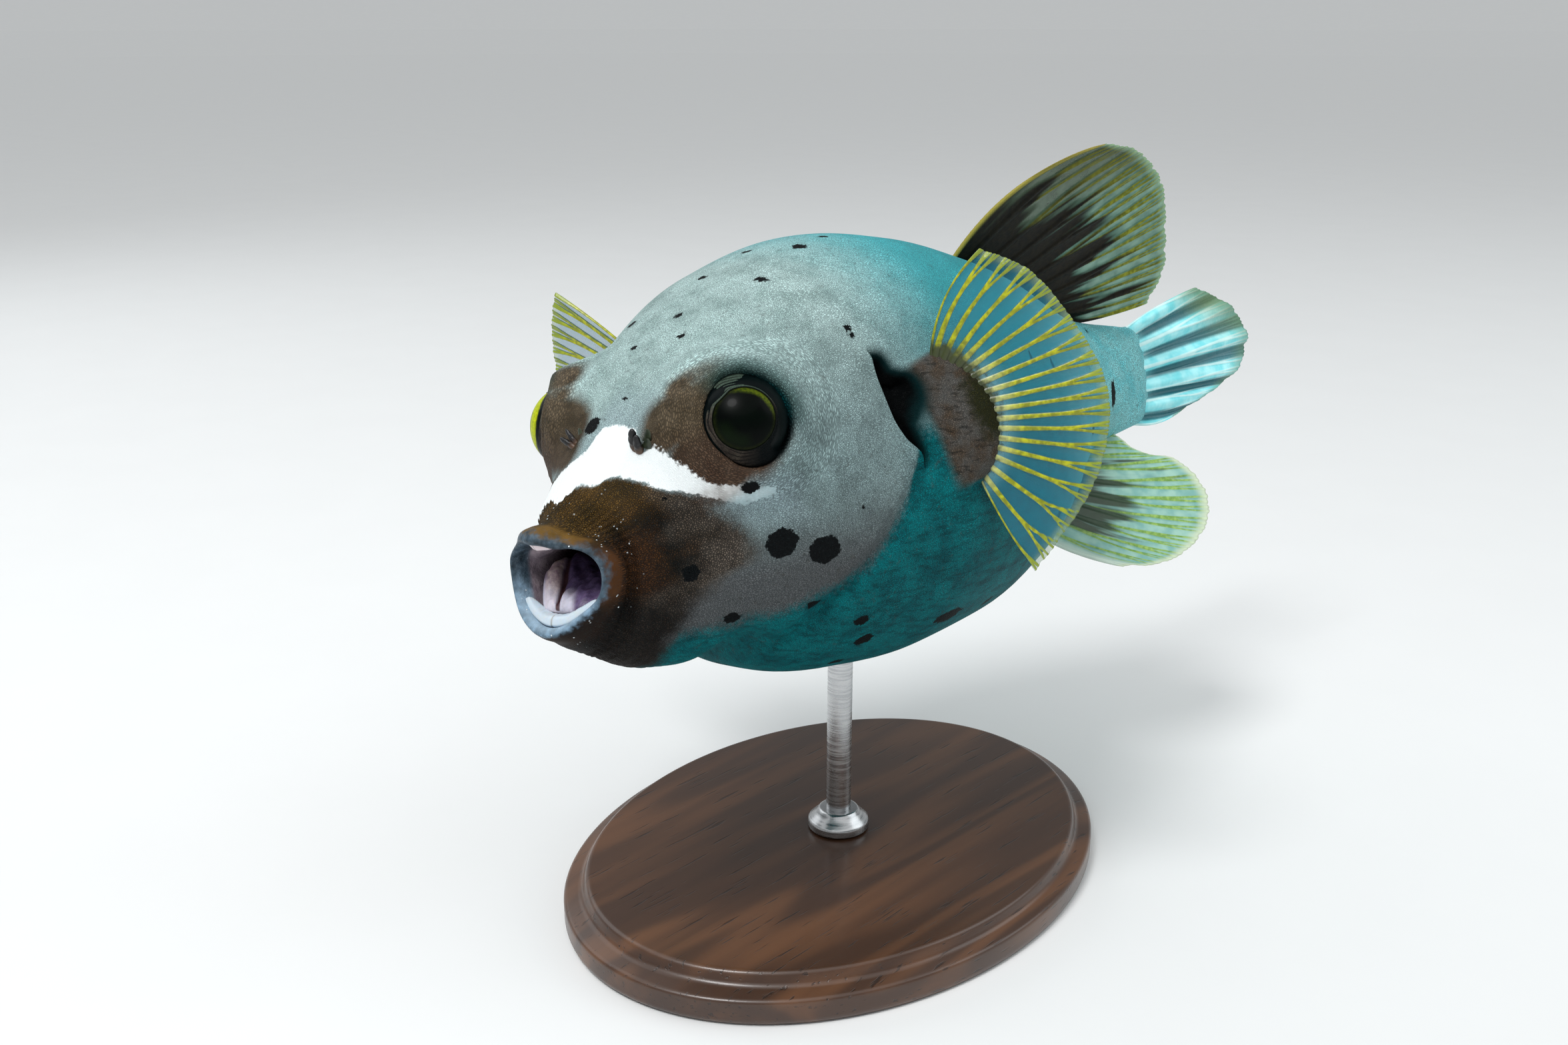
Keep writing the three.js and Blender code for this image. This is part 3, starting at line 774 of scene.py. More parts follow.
pads = {side: pad_share(skin, side) for side in (1, -1)}
for side, share in pads.items():
    skin = skin + PAD_OUT * share[..., None] * pectoral_frame(side, PECTORAL_SPLAY[side])[3]
    print("points on a pad:", (share > 0).sum())

# %% [markdown]
# ## Folds
#
# What is left are folds along the normal: the gill slit with the cheek swelling in front of
# it, the trough under the cheek, the crease behind the mouth's corners, fine lines that
# run out from the lips, and the loose skin of the chin.

# %% Heights of the folds, in millimetres
trough_line = [
    [-30, 36], [-17.2, 45.7], [-10.7, 52.7], [-3.9, 58.3], [0.7, 62], [5.3, 65.2], [8, 66.5]
]

back, height = skin[..., 1], base[..., 2]
angle = np.broadcast_to(ring_angles, back.shape)
side_angle = np.degrees(np.where(angle > np.pi, 2 * np.pi - angle, angle))  # 0 top, 180 belly
row = np.broadcast_to(row_places[:, None], back.shape)

slit_front, slit_rear = along(gill_front, height), along(gill_rear, height)
in_slit = (base[..., 1] - slit_front) / np.maximum(slit_rear - slit_front, 0.5)
slit_window = fade(4, 8, height) * fade(30, 28, height) * (side_angle < 100)
slit = slit_window * fade(0.0, 0.12, in_slit) * fade(1.05, 0.42, in_slit)
before_slit = base[..., 1] - slit_front
cheek = bell(before_slit + 4, 4.5) * fade(-2, 12, height) * fade(40, 26, height)
trough = bell(base[..., 1] - along(trough_line, height), 2.6) * fade(9, 4, height)
trough *= fade(-34, -20, height)
throat = bell(back - 33.2, 4.6) * fade(128, 156, side_angle)

behind_lip = row - (first_body - 1)
corner_crease = bell(behind_lip, 0.55) * fade(50, 80, side_angle) * fade(150, 115, side_angle)
muzzle_groove = bell(back - 16.5 - 2 * bell(side_angle - 95, 25), 1.3)
muzzle_groove *= fade(55, 80, side_angle) * fade(140, 110, side_angle)
ray_wave = np.sin(side_angle * 1.05 + 2.5 * np.sin(back * 0.45) + 1.3 * np.sin(side_angle * 0.11))
lip_rays = ray_wave * bell(back - 8.5, 4.2) * fade(1, 3, row - (first_body - 4))
chin_wave = np.sin(back * 3.3 + 1.6 * np.sin(side_angle * 0.13) + 1.1 * np.sin(side_angle * 0.047))
chin_folds = chin_wave * fade(115, 140, side_angle) * fade(5, 8, back) * fade(24, 15, back)

heights = (
    (-6.5, slit), (0.8, cheek), (-1.5, trough), (-4.9, throat), (-0.75, corner_crease),
    (-0.45, muzzle_groove), (0.16, lip_rays), (0.17, chin_folds),
)
folds = sum(millimetres * shape for millimetres, shape in heights)
overhang = 1.1 * slit_window * fade(-6, -0.2, before_slit) * fade(0.9, 0.1, before_slit)
skin = skin + folds[..., None] * normals(skin) + overhang[..., None] * np.array([0, 1, 0])
print(f"folds: {folds.min():.1f} to {folds.max():.1f} mm")

# %% [markdown]
# ## Lining of the mouth, and the tail's bend
#
# Inside the lips the lining lies in soft lengthwise folds, which a wave round the mouth's
# axis gives. Last of all the tail is swung to the side. Bending comes after every fold, so
# that all the shapes above could be worked out on a straight fish.

# %% Lengthwise folds, then the bend
lining = fade(5.2, 3.6, row)
lining_folds = 0.35 * np.sin(9 * angle + 0.4 * np.sin(5 * angle)) * lining * fade(0, 1.5, row)
skin = skin + lining_folds[..., None] * normals(skin)
level_skin = skin
skin = bend_tail(skin)
print(f"tail swung by {(skin - level_skin)[..., 0].max():.1f} mm at its end")

# %% [markdown]
# ## Where the markings lie
#
# The markings are worked out on the level body, as distances in millimetres: above 0 is
# inside a mark. The finish then roughens each edge with noise, so a mark keeps its place
# but not a ruler's edge. A painted image would fix the pattern to one unwrapping instead.

# %% Nose band and muzzle
# Edges as [angle down from the crown in degrees, distance back], first the left side's.
band_top = [
    [0, 21], [15, 21.5], [22, 21.4], [27, 19.8], [32, 19.2], [36, 20.3], [42, 20.6], [47, 20.9],
    [53, 21.6], [59, 22.7], [62, 23.4], [68, 25.3], [72, 27.4], [78, 34],
]
band_low = [
    [0, 10.5], [5, 11.4], [21, 12.2], [24, 13.6], [29, 14.7], [37, 15.6], [44, 16.6], [51, 17.6],
    [56, 18.6], [62, 20.8], [65, 21.9], [69, 23.5], [74, 25.6], [80, 29],
]
muzzle_edge = band_low[:12] + [
    [79, 26.4], [90, 29.6], [98, 30.3], [103, 29.4], [107, 26], [111, 23], [119, 21], [128, 19.5],
    [140, 17.5], [161, 18], [180, 18],
]

level_back = level_skin[..., 1]
up_angle = np.degrees(
    np.arctan2(np.abs(level_skin[..., 0]), level_skin[..., 2] - along(widest_line, level_back))
)
right_top = [[0, 20.8], [3, 19.4], [5, 18.2], [11, 16.8], [19, 15.8], [27, 15.4], [45, 15]]
right_low = [[0, 10.4], [6, 8.8], [10, 8.1], [16, 8.6], [22, 9.6], [45, 10.5]]
on_right = level_skin[..., 0] < 0
top_edge = np.where(on_right, along(right_top, up_angle), along(band_top, up_angle))
low_edge = np.where(on_right, along(right_low, up_angle), along(band_low, up_angle))
band = np.minimum(top_edge - level_back, level_back - low_edge)
band = np.minimum(band, (80 - up_angle) * 0.5)
muzzle = (along(muzzle_edge, up_angle) - level_back) * lerp(3, 0.8, fade(52, 80, up_angle))
print("points in the band:", (band > 0).sum(), "and on the muzzle:", (muzzle > 0).sum())

# %% Brown patches round the eyes


def capsule(points, start, end, radius):
    """Distance inside a rounded bar from start to end."""
    start, end = np.array(start, float), np.array(end, float)
    t = np.clip((points - start) @ (end - start) / ((end - start) @ (end - start)), 0, 1)
    return radius - np.linalg.norm(points - start - t[..., None] * (end - start), axis=-1)


FAR_OFF = 99.0
patch = np.full(level_back.shape, -FAR_OFF)
eye_away = np.full(level_back.shape, FAR_OFF)
eye_up, eye_ahead, gutter, shade_ring = (np.zeros(level_back.shape) for _ in range(4))
for side in (1, -1):
    mirror = np.array([side, 1, 1])
    rise, away, up, ahead = eye_place(level_skin, side)
    away = np.where(rise > -14, away, FAR_OFF)
    near = away < np.minimum(eye_away, 25)
    eye_up, eye_ahead = np.where(near, up, eye_up), np.where(near, ahead, eye_ahead)
    eye_away = np.minimum(eye_away, away)
    edge = GROOVE + groove_shift(side, up, ahead)
    # Where painted shade fills the gutter behind each eye.
    gutter = np.maximum(gutter, fade(0.3, -0.3, away - edge) * fade(0.12, 0.5, -ahead + 0.1 * up))
    # Where painted shade rings the groove, at the top and rear of each eye.
    shade_ring = np.maximum(shade_ring, fade(4.6, 0.2, away - edge) * fade(-0.1, 0.6, 0.9 * up - 0.7 * ahead))
    reach = 12.2 + 1.6 * fade(0.1, 0.5, ahead) - 3.2 * fade(0, 0.75, -ahead)
    reach = reach - 2.6 * fade(0.5, 1, up)
    ring_patch = reach + 3.2 * fade(0, 0.4, -up) * fade(0.15, 0.6, ahead) - away
    bar = capsule(level_skin * mirror, (26, 29, 26), (16.4, 22.4, 23.2), 6.4)
    brow = capsule(level_skin * mirror, (24, 31, 30), (17.5, 26, 28.5), 3.6)
    if side < 0:
        bar = capsule(level_skin * mirror, (24, 28, 24), (12.5, 21.5, 22.5), 7.4)
        brow = np.maximum(brow, capsule(level_skin * mirror, (26, 30, 30), (19, 29.5, 32), 4.6))
        brow = np.maximum(brow, capsule(level_skin * mirror, (18, 22, 19), (10, 19, 18.5), 5.2))
    patch = np.maximum(patch, np.maximum(ring_patch, np.maximum(bar, brow)))
print("points in the patches:", (patch > 0).sum())

# %% Black spots
# Each spot: x, y, z on the skin, radius, and how much longer it is than wide, back and up.
spots_left = [
    (29.9, 34.9, -2.9, 2.9, 1.08, 1), (33.1, 42.8, -6.1, 2.8, 1.15, 1),
    (20, 19.6, -5.1, 1.6, 1, 1), (21.2, 27, -16, 1.5, 1.1, 0.8),
    (28.6, 42.1, -17.3, 1.5, 1.4, 0.6), (29.5, 53.6, -23.8, 1.7, 1.1, 0.7),
    (25.4, 57.4, -29.3, 1.9, 1.1, 0.8), (21.4, 38.1, -24.1, 1.3, 1.2, 0.6),
    (16.2, 57.8, -34.6, 1.6, 1.4, 0.7), (31.4, 78.8, -30.4, 2.4, 1.9, 0.7),
    (30, 28.9, 9.5, 1.3, 1.3, 0.9), (17.8, 18.3, 9.9, 0.5, 1, 1),
    (15.2, 55.3, 46.1, 1.0, 1.2, 0.8), (32.4, 59.1, 34.4, 0.9, 1, 1),
    (33.2, 59.1, 33.1, 0.8, 1, 1), (-1.9, 55.3, 48, 0.9, 1, 1), (12.1, 71, 51.2, 1.1, 1.3, 1),
    (11, 79.7, 52.3, 0.9, 1.2, 1), (-0.6, 67.7, 51.8, 0.9, 1, 1), (2.5, 25.4, 28.1, 0.5, 1, 1),
    (2.1, 43.2, 41.7, 0.6, 1.6, 1), (8, 37.6, 38, 0.5, 1.6, 1), (-3.8, 35.2, 36.8, 0.5, 1.6, 1),
    (37.4, 51, 0.4, 0.4, 1, 1), (11.3, 184, -1.6, 2.6, 0.6, 1.7), (5, 180, 16, 1.2, 1, 1),
    (16.9, 162.8, -6.9, 1.8, 1, 1), (32.7, 126.1, 15.4, 1.3, 0.8, 1.4),
    (36.1, 113.6, 19.3, 1.1, 0.8, 1.4), (33, 120, -18, 1.6, 1.2, 1), (24, 140, -20, 1.4, 1, 1),
    (30, 96, -33, 1.9, 1.4, 0.8), (12, 90, -41, 1.6, 1.3, 1),
]
spots_right = [
    (-4, 21.3, 23.5, 1.25, 1.6, 1.6), (-14.7, 44.7, 40.8, 1.0, 1, 1),
    (-31.5, 37, -4, 3.2, 1.1, 1), (-21, 20.5, -5, 1.7, 1, 1), (-27, 46, -21, 2.4, 1.2, 0.9),
    (-38, 52, 6, 1.3, 1, 1), (-20, 30, -22, 1.6, 1.2, 0.8), (-22, 62, 43, 1.2, 1, 1),
    (-33, 100, 30, 1.6, 1, 1.2), (-38, 112, -8, 2.2, 1.2, 1), (-24, 82, -36, 1.9, 1.5, 0.8),
    (-30, 128, 14, 1.4, 1, 1), (-22, 144, -12, 1.8, 1.1, 1), (-14, 168, 6, 1.5, 1, 1.3),
    (-7, 186, -3, 2.0, 0.7, 1.5), (-12, 60, -36, 1.7, 1.3, 0.8), (-20, 105, 43, 1.2, 1, 1),
    (-5, 118, 46, 1.0, 1, 1),
]
spots = np.full(level_back.shape, -FAR_OFF)
for x, y, z, radius, long, tall in spots_left + spots_right:
    offset = (level_skin - [x, y, z]) / [1.6, long, tall]
    spots = np.maximum(spots, radius - np.linalg.norm(offset, axis=-1))
print("spots:", len(spots_left), "left and", len(spots_right), "right")

# %% Soft shares: crown, belly, lips, mouth, gill, pads
belly_edge = [
    [0, -17], [15, -22], [19, -17.8], [27, -18], [35, -18], [43, -16.3], [48.5, -14.5],
    [54, -10.8], [59, -4.6], [62, -0.5], [64, 6], [66.5, 10.5], [72, 13], [100, 8], [140, 4],
    [175, -4], [205, -9],
]
softness = 2.2 + 0.14 * np.clip(level_back - 66, 0, 60)
belly = (along(belly_edge, level_back) - level_skin[..., 2]) / softness
crown = fade(75, 25, up_angle) * fade(150, 70, level_back)

skin_values = {
    "band": band,
    "muzzle": muzzle,
    "patch": patch,
    "spots": spots,
    "belly": np.clip(belly, -3, 3),
    "crown": crown,
    "eye_away": np.clip(eye_away, 0, 40),
    "eye_up": eye_up,
    "eye_ahead": eye_ahead,
    "gutter": gutter,
    "shade_ring": shade_ring,
    "level_back": level_back,
    "lip": (row - 5) / 5,
    "lower": np.maximum(0, -np.cos(angle)),
    "lining": fade(5.3, 4.7, row),
    "depth": np.clip(slit, 0, 1),
    "pad": np.maximum(pads[1], pads[-1]),
    "up_angle": up_angle,
}
body_skin = piece("body_skin", skin, skin_values)

# %% [markdown]
# ## The skin's finish
#
# Real puffer skin has no scales, but it is cut by fine creases into thousands of tiny
# pillows, a quarter of a millimetre wide and a little longer. Round the eyes the creases bend into
# circles. Both are patterns of cells: on the flank the cells are stretched along the body,
# and near an eye they are laid out in its own round coordinates, carried by the mesh.

# %% Creases and cobbles
coat = Finish(
    "puffer_skin", Subsurface_Weight=0.03, Subsurface_Radius=(0.9, 1.0, 1.0),
    Subsurface_Scale=0.001, Specular_IOR_Level=0.07,
)


def pillows(wide, long, lumps, push):
    """Distance to the creases between cells of that width and length in millimetres. The
    cells are pushed about in lumps, so they don't stand in rows."""
    way = coat.warped(coat.spread(1 / wide, 1 / long), lumps, push)
    return coat.cells(1, way, "DISTANCE_TO_EDGE")


flank_cells = pillows(0.26, 0.38, 4.0, 2.0)
wrinkles = pillows(0.28, 0.8, 3.0, 2.4)
ring_way = coat.join(
    14 * coat.number("eye_up"), 14 * coat.number("eye_ahead"), 1 / 0.28 * coat.number("eye_away")
)
eye_rings = coat.cells(1, coat.warped(ring_way, 2.5, 1.0), "DISTANCE_TO_EDGE")
wrinkled = step(-0.1, 0.12, coat.noise(9))
flank = blend(0.8 * wrinkled, flank_cells, wrinkles)
behind = step(0.0, 0.9, -1 * coat.number("eye_ahead"))
near_eye = step(17.0, 14.0, coat.number("eye_away") + -4 * behind)
muzzle_cells = pillows(0.4, 0.4, 3.0, 1.4)
creased = pillows(0.34, 1.5, 2.5, 1.6)
by_lips = step(17.0, 9.0, coat.number("level_back") + 5 * coat.noise(5))
muzzle_cells = blend(by_lips, muzzle_cells, creased)
on_snout = step(-1.0, 3.0, coat.number("muzzle")) * step(20.0, 12.0, coat.number("spots"))
cobbles = blend(on_snout, blend(near_eye, flank, eye_rings), muzzle_cells)
pillow = step(0.0, 0.4, cobbles)
smooth = step(1.0, 0.7, coat.number("lip"))  # lips and the mouth's lining have no cobbles
pillow = blend(smooth, pillow, 1.0)
print("so far:", len(coat.nodes), "nodes")

# %% [markdown]
# ## Edges of the markings
#
# On a real puffer a black spot ends within a tenth of a millimetre, while the brown of the
# muzzle drifts out into the grey like smoke. Both edges are the same distances, moved by
# noise before they are cut: fine strong noise tears an edge, wide soft noise smokes it.

# %% Ragged and smoky edges
ragged = 1.3 * coat.noise(1.9, detail=2) + 1.0 * coat.noise(0.6, detail=1)
in_band = step(-0.22, 0.22, coat.number("band") + ragged)
in_spot = step(-0.16, 0.16, coat.number("spots") + ragged)
smoky = 4.5 * coat.noise(7, detail=4, rough=0.62) + 1.8 * coat.noise(0.6)
crisp = step(50, 80, coat.number("up_angle"))
ruffle = blend(crisp, 2.4 * ragged, smoky)
in_muzzle = step(-2.0, 2.4, coat.number("muzzle") + ruffle)
in_patch = step(-1.8, 2.2, coat.number("patch") + 0.6 * smoky)
crumbled = 1.6 * coat.noise(7, detail=3) + 1.7 * coat.noise(0.7, detail=1)
in_belly = step(-1.3, 0.7, coat.number("belly") + crumbled)
print("so far:", len(coat.nodes), "nodes")

# %% [markdown]
# ## Ground colours
#
# Under its marks the fish is pale grey and blotched like wet stone. It is lighter on the
# crown, partly as painted light from above, and darker low on the cheek, partly as painted
# shade. The belly turns blue-green, its own colour deepened by painted shade, and towards
# the tail the body takes a blue-green cast, partly painted shade and painted blue-green
# light. One colour ramp along the body would do for a sketch. Here each region is mixed
# over the one before, so each can keep an edge of its own.

# %% From the crown down to the belly and back to the stalk
blotches = step(-0.1, 0.2, coat.noise(6.5, detail=4, rough=0.7))
freckles = step(0.12, 0.24, coat.noise(1.5, detail=2))
rear = step(56, 94, coat.number("level_back"))
stalk = step(106, 170, coat.number("level_back"))
low_cheek = step(78, 112, coat.number("up_angle"))
grey = mix(blotches, srgb(156, 182, 183), srgb(128, 149, 150))
# Low on the cheek the grey darkens, partly its own colour and partly painted shade.
grey = mix(low_cheek, grey, srgb(104, 108, 110))
# Towards the tail the grey and the pale turn blue-green, partly as painted shade and painted
# blue-green light.
grey = mix(rear, grey, srgb(44, 164, 174))
pale = mix(0.7 * blotches, srgb(208, 238, 236), srgb(160, 190, 187))
pale = mix(rear, pale, srgb(94, 216, 226))
# The crown is paler partly as painted light from above.
colour = mix(coat.number("crown"), grey, pale)
under_eye = step(-9, 0, coat.number("band"))
colour = mix(0.6 * under_eye, colour, srgb(180, 204, 212))
# The belly's blue-green is partly its own colour and partly painted shade.
teal = mix(blotches, srgb(0, 130, 136), srgb(0, 98, 106))
streaks = step(-0.05, 0.2, coat.noise(1.1, coat.spread(1, 0.16, 1), detail=3))
teal = mix(0.5 * streaks, teal, srgb(0, 50, 56))
colour = mix(in_belly, colour, teal)
colour = mix(0.95 * stalk, colour, mix(blotches, srgb(168, 250, 255), srgb(132, 238, 248)))
colour = mix(0.3 * freckles, colour, srgb(84, 80, 72))
print("so far:", len(coat.nodes), "nodes")

# %% [markdown]
# ## The face
#
# A brown mask with a chalk-white bar across the nose is what sets this species apart. The
# brown is never one tone: it is olive on the snout's top, rusty beside the mouth, and
# nearly black under the chin, partly its own dark brown and partly painted shade. The order
# counts, because each mix paints over the last, so brown comes first, then the white bar,
# then the creases.

# %% Brown muzzle and brows, painted shade round the eyes, white nose
umber = mix(step(-0.2, 0.25, coat.noise(5, detail=4)), srgb(78, 60, 26), srgb(112, 84, 40))
side_umber = mix(step(-0.1, 0.25, coat.noise(5, detail=4)), srgb(24, 19, 13), srgb(78, 52, 27))
edge_brown = mix(step(-0.2, 0.2, coat.noise(4, detail=5)), srgb(74, 64, 54), srgb(112, 102, 92))
nearing = coat.number("muzzle") + 0.9 * smoky
side_umber = mix(step(11.0, 4.0, nearing), side_umber, edge_brown)
rust = step(62, 84, coat.number("up_angle")) * step(122, 100, coat.number("up_angle"))
rust = rust * step(17, 12, coat.number("level_back") + 6 * coat.noise(4, detail=3))
side_umber = mix(0.5 * rust, side_umber, srgb(98, 60, 30))
# Under the chin the brown goes nearly black: partly its own dark brown, partly painted shade.
chin_brown_and_shade = step(104, 130, coat.number("up_angle") + 20 * coat.noise(5, detail=3))
side_umber = mix(0.85 * chin_brown_and_shade, side_umber, srgb(26, 19, 16))
brown = mix(step(38, 72, coat.number("up_angle")), umber, side_umber)
colour = mix(in_muzzle, colour, brown)
brow_low = step(0.3, -0.6, coat.number("eye_up"))
brow_tone = mix(step(-0.2, 0.25, coat.noise(3, detail=4)), srgb(80, 68, 50), srgb(112, 98, 78))
brow_tone = mix(0.6 * brow_low, brow_tone, srgb(84, 58, 48))
colour = mix(in_patch, colour, brow_tone)
# Painted shade, dark teal, rings the groove at the top and rear of each eye.
shade_ring_tone = mix(step(-0.6, 0.5, coat.number("eye_up")), srgb(8, 44, 46), srgb(52, 98, 94))
colour = mix(0.75 * coat.number("shade_ring"), colour, shade_ring_tone)
# Painted shade fills the gutter behind each eye: nearly black below, teal above.
gutter_shade_tone = mix(step(-0.5, 0.5, coat.number("eye_up")), srgb(2, 14, 17), srgb(4, 84, 88))
colour = mix(coat.number("gutter"), colour, gutter_shade_tone)
band_end = step(82, 60, coat.number("up_angle") + 16 * coat.noise(2.5, detail=4))
colour = mix(in_band * band_end, colour, srgb(240, 246, 247))
print("so far:", len(coat.nodes), "nodes")

# %% Fin roots, black spots, shaded creases
pad_colour = mix(step(-0.2, 0.25, coat.noise(3, detail=4)), srgb(104, 102, 98), srgb(90, 74, 58))
stripes = step(-0.02, -0.2, coat.noise(0.9, coat.spread(0.5, 0.3, 1.3), detail=2))
pad_colour = mix(0.65 * stripes, pad_colour, srgb(34, 34, 30))
fringe = coat.number("pad") + 0.2 * coat.noise(1.2, detail=3)
pad_colour = mix(step(0.74, 0.92, fringe), pad_colour, srgb(50, 50, 24))
colour = mix(step(0.12, 0.36, coat.number("pad")), colour, pad_colour)
colour = mix(in_spot, colour, srgb(4, 5, 7))
shaded = step(0.75, 0.0, pillow) * blend(in_band, blend(on_snout, 0.6, 0.78), 0.1)
grain = step(0.0, 0.3, coat.noise(0.42, detail=1))
colour = mix(grain * blend(in_band, 0.3, 0.05), colour, srgb(40, 52, 54))
colour = mix(shaded, colour, srgb(3, 9, 11))
print("so far:", len(coat.nodes), "nodes")

# %% [markdown]
# ## Lips, mouth and gill slit
#
# The lips are wet, smooth and slate blue, with a pale rim below and a few grains of sand
# where the fish has been feeding. Inside, the lining goes from flesh colour to near black
# further back, which is painted shade. The slit is darkened in paint too, because soft
# studio light would reach into it.

# %% Lips, lining of the mouth, gill slit
lip = coat.number("lip") + coat.number("lower") * (0.3 * coat.number("lip"))
lip_tone = mix(step(-0.2, 0.25, coat.noise(2.2, detail=4)), srgb(66, 86, 100), srgb(130, 160, 184))
pale_edge = step(0.62, 0.15, lip) * step(0.1, 0.7, coat.number("lower"))
lip_tone = mix(0.55 * pale_edge, lip_tone, srgb(172, 196, 214))
mottled = mix(step(-0.15, 0.2, coat.noise(1.6, detail=4)), srgb(26, 30, 32), srgb(76, 86, 94))
lip_tone = mix(0.8 * step(0.5, 0.0, coat.number("lower")), lip_tone, mottled)
on_lip = step(0.74, 0.5, lip + 0.45 * coat.noise(1.3, detail=3))
colour = mix(on_lip, colour, lip_tone)
grains = step(0.2, 0.1, coat.cells(1.1)) * step(1.6, 1.2, lip)
grains = grains * step(0.02, 0.12, coat.noise(3.2))
colour = mix(grains, colour, srgb(226, 236, 240))
flesh = mix(step(-0.25, 0.3, coat.noise(2.2, detail=3)), srgb(112, 100, 110), srgb(160, 146, 152))
# Further back the lining darkens to near black: painted shade deep in the mouth.
flesh = mix(step(7.0, 16.0, coat.number("level_back")), flesh, srgb(26, 10, 14))
colour = mix(coat.number("lining"), colour, flesh)
slit_tone = mix(step(0.2, 0.6, coat.number("depth")), srgb(6, 44, 46), srgb(1, 3, 4))
colour = mix(step(0.04, 0.35, coat.number("depth")), colour, slit_tone)

relief = pillow * blend(in_band, blend(on_snout, 0.13, 0.18), 0.06)
relief = relief + 0.03 * coat.noise(0.3) + 0.15 * grains
relief = relief + coat.noise(0.8, detail=2) * (0.25 * on_lip)
skin_finish = coat.done(colour, blend(on_lip, 0.55, 0.4), relief)
lip_nodes = ("upper_lip", "lower_lip")
root_nodes = ("pectoral_base_left", "pectoral_base_right")
dress(body_skin, skin_finish, ("head", "trunk", "tail_stalk") + lip_nodes + root_nodes)

# %% [markdown]
# ## Eyes
#
# The eyeball is a large clear dome over a dark pupil. What shows of the iris is a thin
# yellow-green ring, brightest, as painted light, at the top rear of the left eye. A glass
# dome over an inner iris would be truer, but it exports badly, so the ring is painted on
# the ball under a thin clear coat, and soft edges give it depth.

# %% Eyeballs


def eyeball(name, side):
    """A ball: turn goes from the front of the axis to its rear, spin round the axis."""
    centre, outward, upward, forward = eye_frame(side)
    turn = np.linspace(0.01, np.pi - 0.01, 90)[:, None]
    spin = np.linspace(0, 2 * np.pi, 120, endpoint=False)[None, :]
    middle = centre - EYE_SUNK[side] * outward
    away = EYE_RADIUS * np.sin(turn)
    turn_up, turn_ahead = EYE_TURN[side]
    points = (
        middle
        + (EYE_RADIUS * np.cos(turn) + 0 * spin)[..., None] * outward
        + (away * np.cos(spin))[..., None] * upward
        + (away * np.sin(spin))[..., None] * forward
    )
    iris_up, iris_ahead = away * np.cos(spin) - turn_up, away * np.sin(spin) - turn_ahead
    iris_away = np.hypot(iris_up, iris_ahead)
    values = {
        "iris_away": np.where(turn < np.pi / 2, iris_away, 9),
        "iris_up": iris_up / np.maximum(iris_away, 0.01),
        "iris_ahead": iris_ahead / np.maximum(iris_away, 0.01),
    }
    return piece(name, points, values)


balls = {word: eyeball(f"eyeball_{word}", side) for word, side in (("left", 1), ("right", -1))}

# %% [markdown]
# ## The iris
#
# In life the iris is a thin ring of gold and olive flecks round a bottle-green pupil, and
# it lights up only where the light falls on it. The ring is where the distance from the
# opening's axis lies between two radii. Its light is painted: how brightly the ring is
# painted follows the direction round that axis, which the mesh carries too, and a faint
# painted glow lies in the pupil's lower front.

# %% Iris and pupil


def eye_finish(name, lit_range, gold, olive, inside, rim):
    """A dark ball with a crescent of iris, whose width and painted light follow the direction
    round the axis. The lit range says how far round the iris is painted lit, inside and rim
    are the iris's inner and outer radius."""
    ball = Finish(
        name, Roughness=0.35, Specular_IOR_Level=0.05, Coat_Weight=0.05, Coat_Roughness=0.05,
        Coat_IOR=1.3,
    )
    away = ball.number("iris_away") + 0.35 * ball.noise(1.2, detail=3)
    lean = 0.72 * ball.number("iris_up") + -0.7 * ball.number("iris_ahead")
    # Painted light: the ring is painted brighter and wider on its lit side.
    painted_light = step(*lit_range, lean + 0.3 * ball.noise(2.4, detail=3))
    inner = blend(painted_light, inside + 0.6, inside)
    ring = step(-0.35, 0.45, away - inner)
    ring = ring * step(rim + 0.25, rim - 0.25, away)
    veins = step(-0.25, 0.3, ball.noise(0.5, detail=3))
    pupil = mix(step(-0.3, 0.3, ball.noise(4)), srgb(0, 1, 1), srgb(1, 6, 3))
    colour = mix(ring * blend(painted_light, 0.12, 0.95), pupil, mix(veins, olive, gold))
    # A faint painted glow in the pupil's lower front: painted light.
    glow = step(2.4, 4.3, away) * step(5.6, 4.7, away)
    glow = glow * step(0.5, 1.0, -1 * lean)
    colour = mix(0.3 * glow, colour, srgb(16, 36, 6))
    colour = mix(step(rim, rim + 0.5, away), colour, srgb(4, 10, 11))
    return ball.done(colour)


# The first pair of each look says how far round the ring the painted light reaches.
looks = {
    "left": ((0.4, 1.0), srgb(84, 96, 8), srgb(44, 58, 5), 4.7, 5.7),
    "right": ((-1.6, -1.1), srgb(196, 204, 8), srgb(150, 164, 8), 4.9, 7.45),
}
for word, look in looks.items():
    dress(balls[word], eye_finish(f"eye_{word}_finish", *look), (f"eye_{word}",))

# %% [markdown]
# ## Lids
#
# A sleeve of fine circular folds lies between the eyeball and the groove. It is too fine
# for the skin's grid, and the groove hides where it ends, so it is a ring of its own. Its
# section is a closed loop: up over the ball, out across the folds, and back underneath.

# %% Lid rings
FOLD = 0.04  # half height of the fine folds, in millimetres


